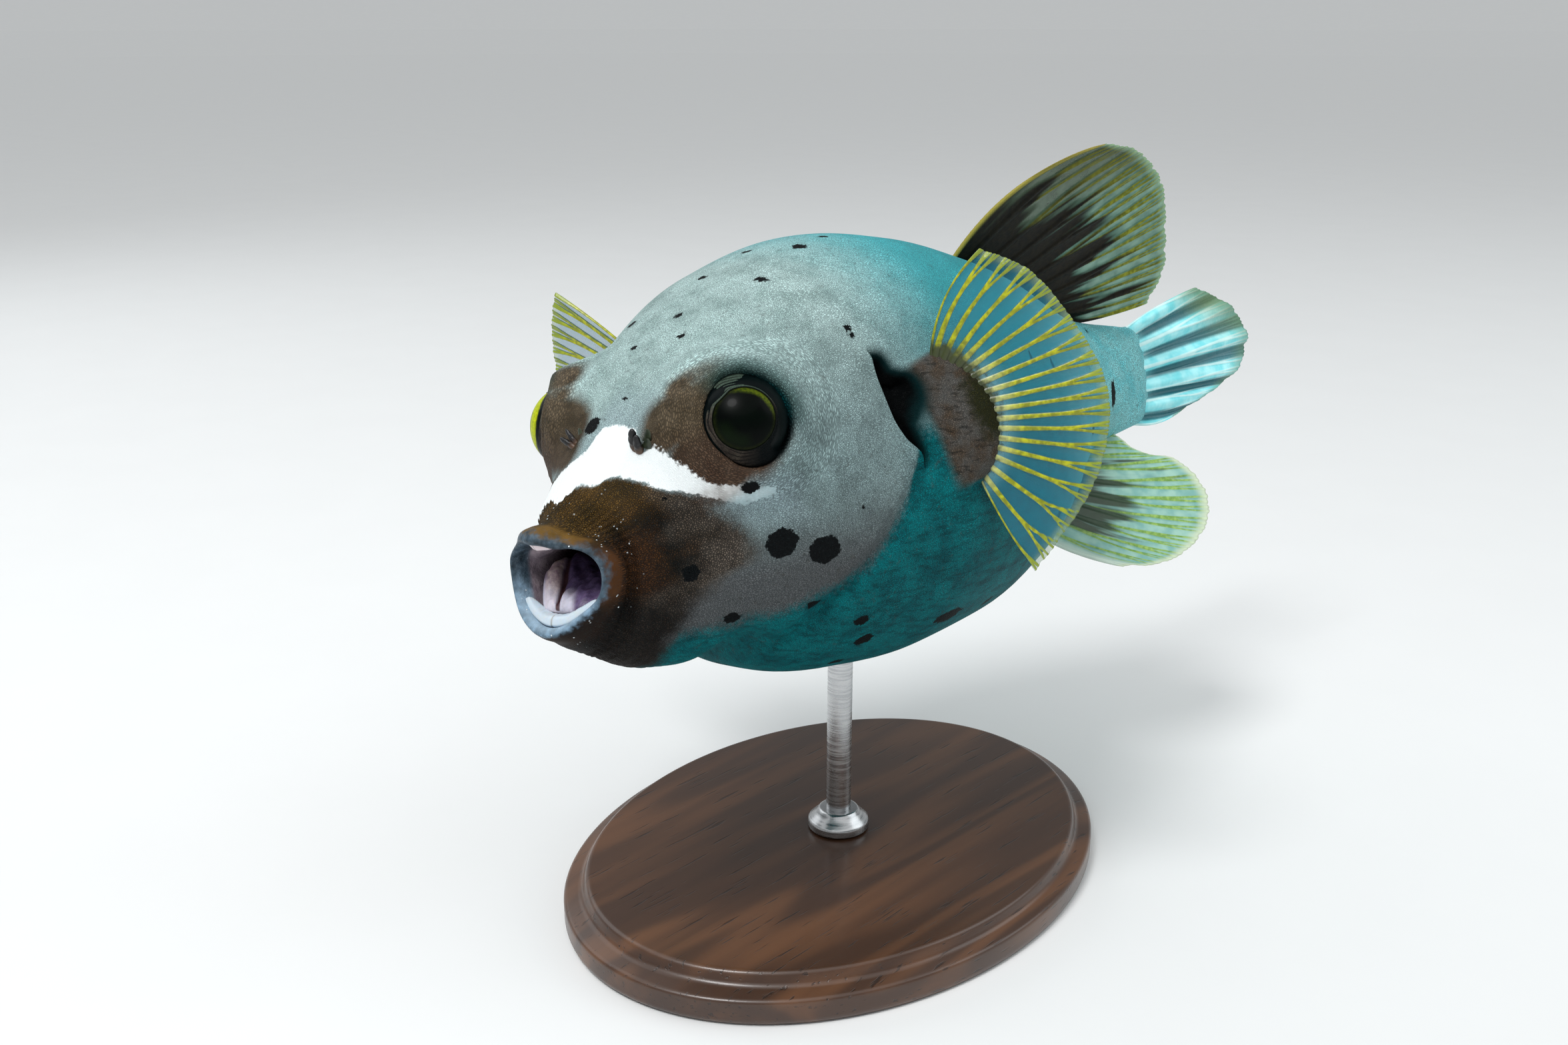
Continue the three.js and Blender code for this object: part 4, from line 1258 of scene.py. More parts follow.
def lid(name, side):
    """A ring round the eye, open where the eye is turned. Its inner edge is cut straight at
    the upper front, where the lid hangs over the ball, and its rear half is sunk in a
    gutter. The right eye looks ahead, so its lid is drawn right back there."""
    centre, outward, upward, forward = eye_frame(side)
    spin = np.linspace(0, 2 * np.pi, 260, endpoint=False)[None, :]
    up, ahead = np.cos(spin), np.sin(spin)
    turn_up, turn_ahead = EYE_TURN[side]
    round_hole = 5.85 if side > 0 else 6.4
    toward = turn_up * up + turn_ahead * ahead
    inner = toward + np.sqrt(round_hole**2 - (turn_up * ahead - turn_ahead * up) ** 2)
    hood = np.maximum(up * 0.84 + ahead * 0.54, 0.05)
    cut = round_hole - 0.3 + 0.84 * turn_up + 0.54 * turn_ahead
    inner = np.minimum(inner, (cut + 0.3 * (1 - hood)) / hood)
    if side < 0:
        inner = lerp(inner, 8.3, fade(0.0, 0.6, ahead))
    behind = fade(0.12, 0.75, -ahead + 0.1 * up)
    on_ball = np.sqrt(EYE_RADIUS**2 - inner**2) - EYE_SUNK[side]
    edge = GROOVE + 0.15 + groove_shift(side, up, ahead)
    width = edge - inner
    # Share of the width, height at the front, height at the rear.
    loop = [
        (-0.05, -1.2, -1.2), (-0.02, 0.0, 0.0), (0.05, 0.25, 0.22), (0.16, 0.25, 0.1),
        (0.4, 0.1, -1.7), (0.7, -0.2, -3.2), (0.88, -0.7, -3.0), (0.96, -1.3, -2.6),
        (1.0, -2.4, -2.6), (0.6, -3.4, -4.6), (0.1, -3.4, -3.8),
    ]
    shares = np.array(loop)
    turn = np.linspace(0, 1, 96, endpoint=False)[:, None]
    closed = np.vstack([shares[-1:], shares, shares[:2]])
    section = spline(closed, (turn[:, 0] * len(loop) + 1) / (len(closed) - 1))
    share, front, rear = (section[:, k : k + 1] for k in range(3))
    slope = lerp(on_ball, 0.15, np.clip(share, 0, 1) ** 0.8)
    crinkle = share * width / 0.58 + 0.25 * np.sin(3 * spin + 1) + 0.12 * np.sin(11 * spin)
    folds = FOLD * np.sin(2 * np.pi * crinkle) * (1 + 0.5 * np.sin(5 * spin))
    folds = folds * fade(0.06, 0.2, share) * fade(0.95, 0.8, share) * fade(-1.4, -0.9, front)
    away = inner + share * width
    rise = slope + lerp(front, rear, behind) + folds
    points = (
        centre
        + rise[..., None] * outward
        + (away * up)[..., None] * upward
        + (away * ahead)[..., None] * forward
    )
    values = {
        "lid_share": share + 0 * spin,
        "lid_behind": behind + 0 * share,
        "lid_fold": folds / FOLD,
        "lid_away": away,
        "lid_up": up + 0 * share,
        "lid_ahead": ahead + 0 * share,
    }
    return piece(name, points, values, round_rows=True)


lids = [lid("lid_left", 1), lid("lid_right", -1)]

# %% [markdown]
# ## The lids' finish
#
# The lid is brown like the patch round it, with a green bloom on top. Painted shade darkens
# its lower rear, the troughs of its folds, its edges and the creases between its cells, and
# turns it teal-black where it sinks into its gutter. Its creases run in circles, so the
# pattern of cells is laid out in the eye's own directions and distance, as it was for the
# skin.

# %% Brown sleeve with circular creases
sleeve = Finish("lid_skin", Roughness=0.6, Specular_IOR_Level=0.06)
tone = mix(step(-0.2, 0.25, sleeve.noise(2.5, detail=4)), srgb(48, 42, 38), srgb(74, 68, 60))
tone = mix(0.7 * step(0.1, 0.8, sleeve.number("lid_up")), tone, srgb(70, 92, 80))
# Painted shade darkens the lower rear of the lid.
low_rear = -0.75 * sleeve.number("lid_up") + -0.65 * sleeve.number("lid_ahead")
tone = mix(step(0.35, 0.85, low_rear), tone, srgb(2, 8, 10))
# Painted shade in the troughs of the folds.
tone = mix(0.8 * step(-0.2, -1.0, sleeve.number("lid_fold")), tone, srgb(20, 18, 18))
# Painted shade where the lid sinks into its gutter: nearly black below, teal above.
dark_low = mix(step(-0.5, 0.5, sleeve.number("lid_up")), srgb(1, 14, 17), srgb(5, 92, 94))
deep = mix(step(-0.3, 0.6, sleeve.number("lid_up")), srgb(2, 7, 8), srgb(3, 66, 68))
shade = mix(step(0.4, 0.9, sleeve.number("lid_share")), deep, dark_low)
sunk = step(0.1, 0.6, sleeve.number("lid_behind")) * step(0.1, 0.22, sleeve.number("lid_share"))
tone = mix(sunk, tone, shade)
# Painted shade at the inner edge against the ball and in the groove at the outer edge.
tone = mix(step(0.09, 0.03, sleeve.number("lid_share")), tone, srgb(8, 12, 12))
tone = mix(step(0.86, 0.93, sleeve.number("lid_share")), tone, srgb(5, 8, 9))
across_way, ahead_way = 10 * sleeve.number("lid_up"), 10 * sleeve.number("lid_ahead")
lid_way = sleeve.join(across_way, ahead_way, 1 / 0.25 * sleeve.number("lid_away"))
fine = step(0.0, 0.3, sleeve.cells(1, sleeve.warped(lid_way, 2.5, 0.8), "DISTANCE_TO_EDGE"))
# Painted shade in the creases between the cells.
tone = mix(0.35 * step(0.5, 0.0, fine), tone, srgb(14, 14, 14))
lid_finish = sleeve.done(tone, None, 0.08 * fine)
for made in lids:
    dress(made, lid_finish)

# %% [markdown]
# ## Beak
#
# Puffers bite with two pairs of plates fused into a beak. The lower plate shows as a thick
# white band behind the lower lip, with the seam between its halves, and the upper one as a
# small pink edge. Each is a rounded section carried round the mouth's oval.

# %% Beak plates


def beak(name, middle, reach, tall, deep, setback):
    """A squared oval section, carried round the mouth's oval just inside the lip. Its
    height and depth shrink to its two ends, and a groove parts it in the middle."""
    t = np.linspace(-1, 1, 110)[:, None]
    spin = np.linspace(0, 2 * np.pi, 44, endpoint=False)[None, :]
    angle = middle + t * reach
    size = np.clip(1 - t**6, 0.02, 1) ** 0.5
    corner = 0.9 * CORNER_BACK * np.sin(angle) ** 2
    seam = 1 - 0.1 * bell(t * reach * 9, 0.3)
    inward, across = np.cos(spin), np.sin(spin)
    square = (np.abs(inward) ** 3 + np.abs(across) ** 3) ** (-1 / 3)
    height = tall * lerp(0.55, 1, size) * (1 - 0.25 * np.abs(t))
    radius = opening(angle) + 0.6 - height / 2 * (1 + inward * square * seam)
    chips = 0.05 * np.sin(t * 31 + np.sin(t * 12)) * np.maximum(inward, 0)
    lean = 0.3 * height * (inward * square + 1) / 2
    back = MOUTH_FRONT + setback + corner + deep / 2 * size * (1 + across * square * seam) + lean
    points = mouth_point(angle + 0 * spin, radius + chips, back)
    return piece(name, points, {"edge": (inward * square + 1) / 2 + 0 * t, "seam": seam + 0 * spin})


def beak_finish(name, light, dark, root):
    """Enamel, stained in patches, greyer at the root and dark along the seam."""
    tooth = Finish(
        name, Roughness=0.42, Coat_Weight=0.1, Subsurface_Weight=0.1, Subsurface_Scale=0.001
    )
    stain = step(-0.15, 0.3, tooth.noise(1.6, detail=4))
    colour = mix(0.5 * stain, light, dark)
    colour = mix(step(0.35, 0.0, tooth.number("edge")), colour, root)
    colour = mix(0.8 * step(0.99, 0.86, tooth.number("seam")), colour, srgb(120, 104, 84))
    return tooth.done(colour, None, 0.05 * tooth.noise(0.5, tooth.spread(1, 1, 0.25)))


lower_beak = beak("beak_lower", np.pi, 1.08, 2.3, 2.4, 2.1)
upper_beak = beak("beak_upper", -0.1, 0.62, 1.7, 2.2, 1.8)
ivory = beak_finish("ivory_beak", srgb(196, 212, 224), srgb(206, 208, 204), srgb(150, 172, 190))
rose = beak_finish("rose_beak", srgb(232, 214, 218), srgb(214, 192, 194), srgb(176, 150, 160))
dress(lower_beak, ivory, ("lower_beak",))
dress(upper_beak, rose, ("upper_beak",))

# %% [markdown]
# ## Tongue
#
# A puffer's tongue is a blunt, immovable pad on the floor of the mouth, mauve and wet,
# with two grooves running back. It is an egg whose top is cut by the grooves. Sculpting
# would do as well, but the grooves' formula also tells the finish where to paint shade.

# %% Mound with two grooves


def tongue():
    """A mound that rises backwards over the mouth's floor: an oval egg, cut lengthwise by
    two grooves whose sections are bells."""
    turn = np.linspace(0.02, np.pi - 0.02, 90)[:, None]
    spin = np.linspace(0, 2 * np.pi, 160, endpoint=False)[None, :]
    ring = np.sin(turn) ** 0.6
    top = np.maximum(np.cos(spin), 0) ** 0.5
    x = 9.6 * ring * np.sin(spin) - 1.6
    y = 13.5 - 10.3 * np.cos(turn)
    tall = np.where(np.cos(spin) > 0, 3.2, 1.6)
    oblique = x + 0.75 * (y - 4)
    groove = 1.6 * bell(oblique + 2.2, 0.8) + 0.7 * bell(oblique + 6.4, 0.6)
    wave = 0.22 * np.sin(x * 2.3 + 0.7 * np.sin(y * 0.9)) + 0.15 * np.sin(y * 1.7 + x)
    z = -8.8 + tall * ring * np.cos(spin) + 0.12 * np.minimum(y - 5, 11)
    z = z + 5.2 * fade(-4, -11, x) * fade(3, 9, y)
    z = z + (wave - groove) * top * ring
    points = np.stack([x, y + 0 * z, z], -1)
    values = {"groove": groove * top, "side_way": oblique, "floor_back": y + 0 * z}
    return piece("tongue_flesh", points, values)


# %% Wet mauve skin
wet = Finish(
    "tongue_skin", Roughness=0.5, Subsurface_Weight=0.1, Subsurface_Scale=0.0015,
    Coat_Weight=0.08,
)
mauve = mix(step(-0.2, 0.25, wet.noise(1.8, detail=4)), srgb(70, 54, 88), srgb(112, 94, 134))
# Further back the mauve darkens: painted shade deeper in the mouth.
mauve = mix(step(15.0, 20.0, wet.number("floor_back")), mauve, srgb(58, 44, 58))
side_way = wet.number("side_way") + 1.2 * wet.noise(2.4)
cream = step(-2.2, -3.4, side_way) * step(-7.6, -6.2, side_way)
pink = mix(step(-0.2, 0.2, wet.noise(1.1, detail=3)), srgb(168, 140, 150), srgb(214, 194, 190))
mauve = mix(cream, mauve, pink)
fore = step(8.5, 4.5, wet.number("floor_back") + 2 * wet.noise(2))
fore = fore * step(3.5, 1.5, wet.number("side_way"))
mauve = mix(0.75 * fore, mauve, srgb(214, 212, 226))
# Painted shade in the two grooves.
mauve = mix(step(0.35, 1.3, wet.number("groove")), mauve, srgb(74, 44, 48))
veins = wet.noise(0.9, wet.spread(1, 0.5, 1), detail=3)
dress(tongue(), wet.done(mauve, None, 0.3 * veins), ("tongue",))

# %% [markdown]
# ## Nostrils
#
# Instead of holes a puffer has a solid, forked feeler on each side of its snout: two blunt
# fingers with a thin leaf or two behind them. Each is a circle, carried along a line.

# %% Feelers of the nose


def feeler_points(root, tip, bow, thick, flat=1.0, face=(1, 0, 0)):
    """A finger: a circle, pressed by flat, carried along a bowed line to a round tip."""
    t = np.linspace(0, 1, 26)[:, None, None]
    spin = np.linspace(0, 2 * np.pi, 24, endpoint=False)[None, :, None]
    root, tip = np.array(root, float), np.array(tip, float)
    line = lerp(root, tip, t) + np.array(bow) * np.sin(np.pi * t)
    way = unit(tip - root)
    broad = unit(np.array(face) - np.array(face) @ way * way)
    thin = np.cross(way, broad)
    radius = thick * np.sqrt(np.clip(1 - t**5, 0.0004, 1)) * (1 - 0.25 * t)
    radius = radius * (1 + 0.06 * np.sin(t * 23 + 2 * spin))
    points = line + radius * (np.cos(spin) * broad + flat * np.sin(spin) * thin)
    return points, t[..., 0] + 0 * spin[..., 0]


# %% Ink-dark tips
ink = Finish("feeler_skin", Roughness=0.45)
tip_share = step(0.1, 0.5, ink.number("reach") + 0.35 * ink.noise(1.2, detail=3))
shade = mix(tip_share, srgb(84, 58, 38), srgb(10, 9, 12))
feeler_finish = ink.done(shade, None, 0.1 * ink.noise(0.5))
leaf = Finish("feeler_leaf", Roughness=0.4)
leaf_tone = mix(step(-0.2, 0.2, leaf.noise(0.8)), srgb(30, 40, 28), srgb(58, 66, 48))
leaf_finish = leaf.done(leaf_tone)

# %% Two groups of feelers
# Root, tip and bow of each part, then its radius and flatness.
feelers = {
    "left": [
        ((10.4, 20.0, 18.6), (11.7, 18.3, 23.4), (-0.1, -0.3, 0), 1.2, 0.85),
        ((11.2, 19.8, 18.4), (13.0, 18.0, 22.2), (0.1, -0.3, 0), 1.0, 0.85),
        ((11.4, 20.8, 19.2), (14.0, 20.4, 22.8), (0.3, 0, 0.1), 1.15, 0.2),
        ((11.2, 20.4, 18.6), (14.6, 19.6, 21.0), (0.3, 0, -0.2), 1.15, 0.2),
    ],
    "right": [
        ((-7.9, 19.6, 19.4), (-10.9, 18.2, 22.0), (-0.1, -0.2, 0.2), 0.8, 0.85),
        ((-7.6, 20.0, 19.8), (-9.9, 19.2, 23.6), (0.1, -0.2, 0), 0.72, 0.85),
        ((-7.4, 20.8, 20.0), (-7.6, 20.8, 23.4), (0.1, 0, 0.1), 0.95, 0.2),
    ],
}
for word, parts in feelers.items():
    for number, (root, tip, bow, thick, flat) in enumerate(parts):
        points, reach = feeler_points(root, tip, bow, thick, flat)
        finger = piece(f"feeler_{word}_{number + 1}", points, {"reach": reach})
        stands = (f"nostril_{word}",) if number == 0 else ()
        dress(finger, leaf_finish if number > 1 else feeler_finish, stands)

# %% [markdown]
# ## Fins
#
# A fin is a sheet on soft rays that fork towards its edge. Each is drawn as a surface: u
# runs across the rays and v along them. Folding u about the middle of each ray, and again
# about each fork, gives the distance to the nearest branch, so one formula raises every
# ray and notches the sheet between their tips. Ray by ray tubes would need many pieces.

# %% Surface of a fin with forked rays
NOTCH = 0.008  # how far the edge is cut in between two tips, as a share of the ray
FIN_ROWS = 76
FORK_SPREAD = 0.22  # how far a first fork's branches move apart, in rays
JOINT = 0.12  # how much thicker a ray is at its joints


def along_rays(root, down, out, front, starts, bows, ends, cup):
    """Surface whose rays are quadratic curves from starts, bowed by bows, to ends. cup is
    how far, in millimetres, its middle bulges towards the front at the edge."""

    def surface(u, v):
        flat = [spline(points, u) for points in (starts, bows, ends)]
        spots = [root + f[..., :1] * down + f[..., 1:] * out for f in flat]
        v = v[..., None]
        ray = (1 - v) ** 2 * spots[0] + 2 * v * (1 - v) * spots[1] + v**2 * spots[2]
        return ray + cup * np.sin(np.pi * u)[..., None] * v * front

    return surface


def fin(name, surface, rays, forks, ray_width, ray_rise, sheet=0.16, per_ray=15):
    """A closed fin: the surface moved to both sides by half its thickness, which is the
    sheet's, plus a half oval over every branch. forks are the v where rays part in two.
    Widths and rises, at the root and at the edge, are in millimetres."""
    u = np.linspace(0, 1, (rays - 1) * per_ray + 1)[None, :]
    v = np.linspace(0, 1, FIN_ROWS)[:, None]
    u, v = np.broadcast_arrays(u, v)
    fold = np.abs((u * (rays - 1) + 0.5) % 1 - 0.5)
    spread = FORK_SPREAD
    for fork in forks:
        fold = np.abs(fold - spread * fade(fork, min(fork + 0.45, 1.05), v))
        spread *= 0.5
    cut = 1 - NOTCH * fade(0.02, 0.16, fold) - NOTCH * 0.5 * np.sin(u * 40) ** 2
    reach = v * lerp(1, cut, v)
    nudge = 1e-3
    centre = surface(u, reach)
    before, after = np.clip(u - nudge, 0, 1), np.clip(u + nudge, 0, 1)
    wide = surface(after, reach) - surface(before, reach)
    span = after - before
    cell = np.linalg.norm(wide, axis=-1) / span / (rays - 1)
    long = surface(u, reach + nudge) - surface(u, reach - nudge)
    face = unit(np.cross(wide, long))
    branch = fold * cell
    width = lerp(ray_width[0], ray_width[1], v) / 2
    ray = np.sqrt(np.clip(1 - (branch / width) ** 2, 0, 1))
    joints = 1 + JOINT * np.sin(v * 190)
    thick = sheet * lerp(1, 0.7, v) + lerp(ray_rise[0], ray_rise[1], v) * ray * joints
    border = np.minimum(u, 1 - u) * (rays - 1) * cell
    thick = thick * np.sqrt(np.clip(border / 0.5 + 0.35, 0, 1)) * lerp(1, 0.55, fade(0.94, 1, v))
    ripple = 0.22 * np.cos(2 * np.pi * u * (rays - 1)) * fade(0.2, 0.9, v)
    middle = centre + ripple[..., None] * face
    wall = thick[..., None] * face
    both = np.concatenate([middle + wall, (middle - wall)[:, ::-1]], 1)
    soft = np.clip(1.25 - branch / width, 0, 1)
    values = {"ray": soft, "out": v, "over": u}
    values = {key: np.concatenate([g, g[:, ::-1]], 1) for key, g in values.items()}
    return piece(name, both, values, ends="strip")


# %% [markdown]
# ## Outlines of the fins
#
# Each fin has its own fan. The pectoral fins are nearly half circles, and the left one is
# swept back while the right one stands out, as they do when the fish hovers. The back and
# belly fins row from side to side, so both lean. The tail fin is almost shut, like a fan
# being folded. Only a few points of each outline are given: splines run through them.

# %% Pectoral fins, as [along the root, out from it], in millimetres
pectoral_starts = [
    [-0.2, 0.6], [2.4, 4.2], [6.6, 6.3], [11.9, 7.2], [17.2, 6.3], [21.4, 4.3], [24.5, 1.8]
]
pectoral_outline = {
    1: (
        [[-12, 5.5], [-5.2, 13.2], [4.2, 18], [13.4, 19.6], [21.4, 18], [29.6, 12.8], [37.2, 3]],
        [
            [-17.2, 16.9], [-9.8, 24.8], [2.4, 29.6], [14.7, 31.9], [25.4, 29.7], [37.4, 22],
            [49.7, 6.6],
        ],
    ),
    -1: (
        [[-12, 11], [-7, 16.5], [2.5, 19], [12.5, 19], [21, 16.5], [29.5, 11.5], [36, 4.5]],
        [[-22.4, 25.5], [-13.5, 28.8], [-0.5, 30.6], [13.8, 29.6], [26, 26], [37, 19], [47, 9]],
    ),
}


def pectoral(side):
    """Surface of a pectoral fin, in the plane of its root and its splay, cupped rearwards."""
    top, bottom, down, out, front = pectoral_frame(side, PECTORAL_SPLAY[side])
    bows, ends = pectoral_outline[side]
    return along_rays(top, down, out, front, pectoral_starts, bows, ends, -2.5)


# %% Fins of the back, the belly and the tail


def middle_fin(root, slope, lean, starts, bows, ends, cup):
    """Surface of a fin on the back or the belly. slope is its root's, lean the angle from
    straight up to its plane, towards the fish's left."""
    back = np.array([0, math.cos(slope), math.sin(slope)])
    up = np.array([0, -math.sin(slope), math.cos(slope)])
    side = np.cross(back, up)
    out = up * math.cos(lean) + side * math.sin(lean)
    return along_rays(np.array(root), back, out, np.cross(out, back), starts, bows, ends, cup)


dorsal = middle_fin(
    (0, 146, 33.5), math.radians(-25.7), math.radians(43),
    [[-13, -3], [-2, -3], [8, -3], [17, -3], [24, -3]],
    [[-20.5, 27.2], [-4, 25], [9, 22.5], [20, 19], [29, 14], [36, 8], [41, 0]],
    [[1, 44.9], [12, 48], [23, 47.2], [33.5, 43.6], [44.5, 35.8], [54.5, 27], [58, 17]],
    2,
)
anal = middle_fin(
    (0, 152, -27.5), math.radians(29.2), math.radians(130),
    [[-2, -3], [5, -3], [12, -3], [19, -3], [23, -3]],
    [[-6, 12], [3, 17], [12, 18], [22, 15.5], [31, 10], [34, 2]],
    [[1, 28], [8.5, 36.4], [18, 40.8], [29, 41.3], [38, 36.5], [42, 26.5], [38, 17.2], [38.5, 8.5]],
    -2,
)


def caudal(u, v):
    """The tail fin, nearly shut: quadratic rays from top to bottom, swayed sideways by a
    sine wave across them, then swung with the tail."""
    tips = spline([[30, 20], [40, 15.5], [48, 8], [49, 0.5], [43, -6.5], [31, -10.5], [16, -14]], u)
    bows = spline([[14, 18], [20, 9], [22, 0.5], [18, -8], [9, -16]], u)
    start = np.stack([-2 + 0 * u, lerp(12.5, -13, u)], -1)
    w = v[..., None]
    flat = (1 - w) ** 2 * start + 2 * w * (1 - w) * bows + w**2 * tips
    sway = 1.5 * np.sin(5.2 * 2 * np.pi * u) * fade(0.0, 0.4, v) * lerp(1, 0.35, v)
    turn, back = TAIL_SWING, flat[..., 0]
    x = sway * math.cos(turn) + back * math.sin(turn)
    y = back * math.cos(turn) - sway * math.sin(turn)
    hinge = bend_tail(np.array([0.0, STALK_END, 0]))
    return hinge + np.stack([x, y, flat[..., 1]], -1)


pectoral_rays = (19, (0.56, 0.8), (1.3, 0.62), (0.36, 0.12))
fins = {
    "pectoral_left": fin("pectoral_rays_left", pectoral(1), *pectoral_rays),
    "pectoral_right": fin("pectoral_rays_right", pectoral(-1), *pectoral_rays),
    "dorsal": fin("dorsal_rays", dorsal, 11, (0.3, 0.6), (1.9, 0.8), (0.5, 0.16), 0.2, 22),
    "anal": fin("anal_rays", anal, 11, (0.3, 0.6), (1.6, 0.7), (0.4, 0.14), 0.2, 20),
    "caudal": fin("caudal_rays", caudal, 10, (0.35, 0.65), (1.3, 0.6), (0.4, 0.15), 0.22, 26),
}

# %% [markdown]
# ## Finish of the pectoral fins
#
# Rays are yellow and solid, and the sheet between them is so clear that the flank shows
# through. Real glass-like sheets need many bounces of light, so clearness is plain Alpha,
# driven by the distance to a ray, which the mesh carries.

# %% Yellow rays in a clear sheet
web = Finish("pectoral_web", Roughness=0.35)
out = web.number("out")
ray = step(0.02, 0.4, web.number("ray") + -0.32 * out)
speckle = web.noise(1.1, detail=3)
yellow = mix(step(-0.15, 0.2, speckle), srgb(128, 134, 12), srgb(184, 186, 14))
yellow = mix(step(0.75, 1.0, out), yellow, srgb(134, 150, 44))
white_root = step(0.34, 0.1, out) * step(0.12, 0.4, web.number("over"))
yellow = mix(0.55 * white_root, yellow, srgb(214, 220, 170))
sheet = mix(0.7 * white_root, srgb(30, 124, 148), srgb(140, 200, 212))
sheet = mix(step(0.9, 1.0, out), sheet, srgb(150, 176, 140))
root_band = step(0.2, 0.08, out + 0.2 * web.noise(1.2, detail=4))
colour = mix(ray, sheet, yellow)
colour = mix(root_band, colour, srgb(58, 66, 32))
clear = blend(0.8 * white_root, 0.34, 0.62)
alpha = web.maths("MAXIMUM", blend(ray, clear, 1.0), step(0.2, 0.1, out))
web_finish = web.done(colour, None, 0.08 * web.noise(0.6), alpha)
for word in ("left", "right"):
    dress(fins[f"pectoral_{word}"], web_finish, (f"pectoral_fin_{word}",))

# %% [markdown]
# ## Finish of the back fin
#
# This sheet is milky, and sooty streaks run out along its rays like flames. A streak is
# cut from noise that is stretched along the rays, less the distance out, so it is solid at
# the root and breaks into tongues.

# %% Sooty flames
sail = Finish("dorsal_web", Roughness=0.5, Specular_IOR_Level=0.15)
out, ray = sail.number("out"), step(0.15, 0.8, sail.number("ray"))
grain = sail.noise(1.2, detail=3)
milk = mix(step(-0.2, 0.2, sail.noise(4)), srgb(96, 142, 124), srgb(134, 176, 156))
green = mix(step(-0.15, 0.2, grain), srgb(104, 110, 22), srgb(146, 150, 44))
fore = 0.7 * step(0.45, 0.1, sail.number("over"))
milk = mix(fore, milk, srgb(70, 66, 26))
green = mix(fore, green, srgb(96, 92, 24))
colour = mix(ray, milk, green)
tongues = sail.noise(1, sail.join(12 * sail.number("over"), 1.3 * out, 0), detail=2)
streak = -1.0 * out + 0.1 * sail.number("ray") + 1.5 * tongues + 0.1 * sail.number("over") + 0.58
soot = mix(step(-0.2, 0.2, grain), srgb(7, 6, 1), srgb(26, 21, 6))
colour = mix(step(-0.05, 0.16, streak), colour, soot)
colour = mix(0.7 * step(0.95, 1.0, out), colour, srgb(160, 198, 160))
colour = mix(step(0.035, 0.01, sail.number("over")), colour, srgb(150, 140, 62))
alpha = blend(step(-0.05, 0.1, streak), blend(ray, 0.72, 1.0), 1.0)
dress(fins["dorsal"], sail.done(colour, None, 0.12 * grain, alpha), ("dorsal_fin",))

# %% [markdown]
# ## Finish of the belly fin
#
# It is the back fin's paler twin: green rays, a pale first ray and edge, and a short dark
# fan in its middle. The same streaks are used, kept away from both ends.

# %% Green with a short dark fan
keel = Finish("anal_web", Roughness=0.4)
out, ray = keel.number("out"), step(0.15, 0.8, keel.number("ray"))
grain = keel.noise(1.2, detail=3)
milk = mix(step(-0.2, 0.2, keel.noise(4)), srgb(120, 176, 168), srgb(160, 204, 188))
green = mix(step(-0.15, 0.2, grain), srgb(108, 150, 62), srgb(150, 184, 92))
colour = mix(ray, milk, green)
tongues = keel.noise(1, keel.join(14 * keel.number("over"), 1.6 * out, 0), detail=2)
middle = step(0.1, 0.25, keel.number("over")) * step(0.9, 0.7, keel.number("over"))
streak = -1.0 * out + 1.7 * tongues + 0.55 * middle + 0.05
colour = mix(step(-0.05, 0.2, streak), colour, srgb(34, 62, 36))
colour = mix(step(0.1, 0.02, keel.number("over")), colour, srgb(206, 224, 210))
colour = mix(step(0.93, 1.0, out), colour, srgb(206, 220, 190))
alpha = blend(ray, 0.86, 1.0)
dress(fins["anal"], keel.done(colour, None, 0.12 * grain, alpha), ("anal_fin",))

# %% [markdown]
# ## Finish of the tail fin
#
# Its folds are pearly on their crests, with painted shade, deep blue-green, between them.
# The painted shade comes from the same sine wave that folded the mesh, so colour and shape
# can't drift apart.

# %% Pearly crests, dark grooves
fan = Finish("tail_web", Roughness=0.4)
out, ray = fan.number("out"), step(0.15, 0.8, fan.number("ray"))
grain = fan.noise(1.2, detail=3)
pearl = mix(step(-0.2, 0.2, fan.noise(4)), srgb(118, 226, 234), srgb(176, 246, 250))
colour = mix(0.5 * ray, pearl, srgb(238, 246, 240))
wave = fan.maths("SINE", 5.2 * 2 * math.pi * fan.number("over"))
# Painted shade, deep blue-green, in the troughs between the folds.
groove = step(0.2, -0.6, wave) * step(0.05, 0.3, out)
colour = mix(0.92 * groove, colour, srgb(8, 92, 104))
olive = step(0.55, 0.95, out) * step(0.55, 0.15, fan.number("over"))
colour = mix(0.7 * olive, colour, srgb(110, 134, 70))
colour = mix(0.6 * step(0.86, 1.0, out), colour, srgb(90, 132, 96))
dress(fins["caudal"], fan.done(colour, None, 0.12 * grain), ("caudal_fin",))

# %% [markdown]
# ## The stand
#
# The fish swims, so one steel rod holds the model over an oval plinth. The plinth is
# turned and polished walnut: a rounded edge carried round an oval. Rod and collar are
# profiles spun about the rod's axis, with the fine rings that a lathe leaves.

# %% Turned profiles
base_low, base_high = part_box("stand_base")
collar_low, collar_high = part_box("stand_collar")
ROD_RADIUS = 0.003
ROD_TOP = 0.0625  # just inside the belly


def turned(name, profile, columns=160, longer=0.0):
    """A profile of [radius, height] spun about the z axis. longer makes its rim an oval:
    it is how much more the half length is than the half width, in metres."""
    spin = np.linspace(0, 2 * np.pi, columns, endpoint=False)[None, :]
    r, z = np.array(profile, float).T[:, :, None]
    grow = r / max(r.max(), 1e-9)
    x = r * np.cos(spin)
    y = (r + longer * grow) * np.sin(spin)
    return piece(name, np.stack([x, y, z + 0 * x], -1), level=False)


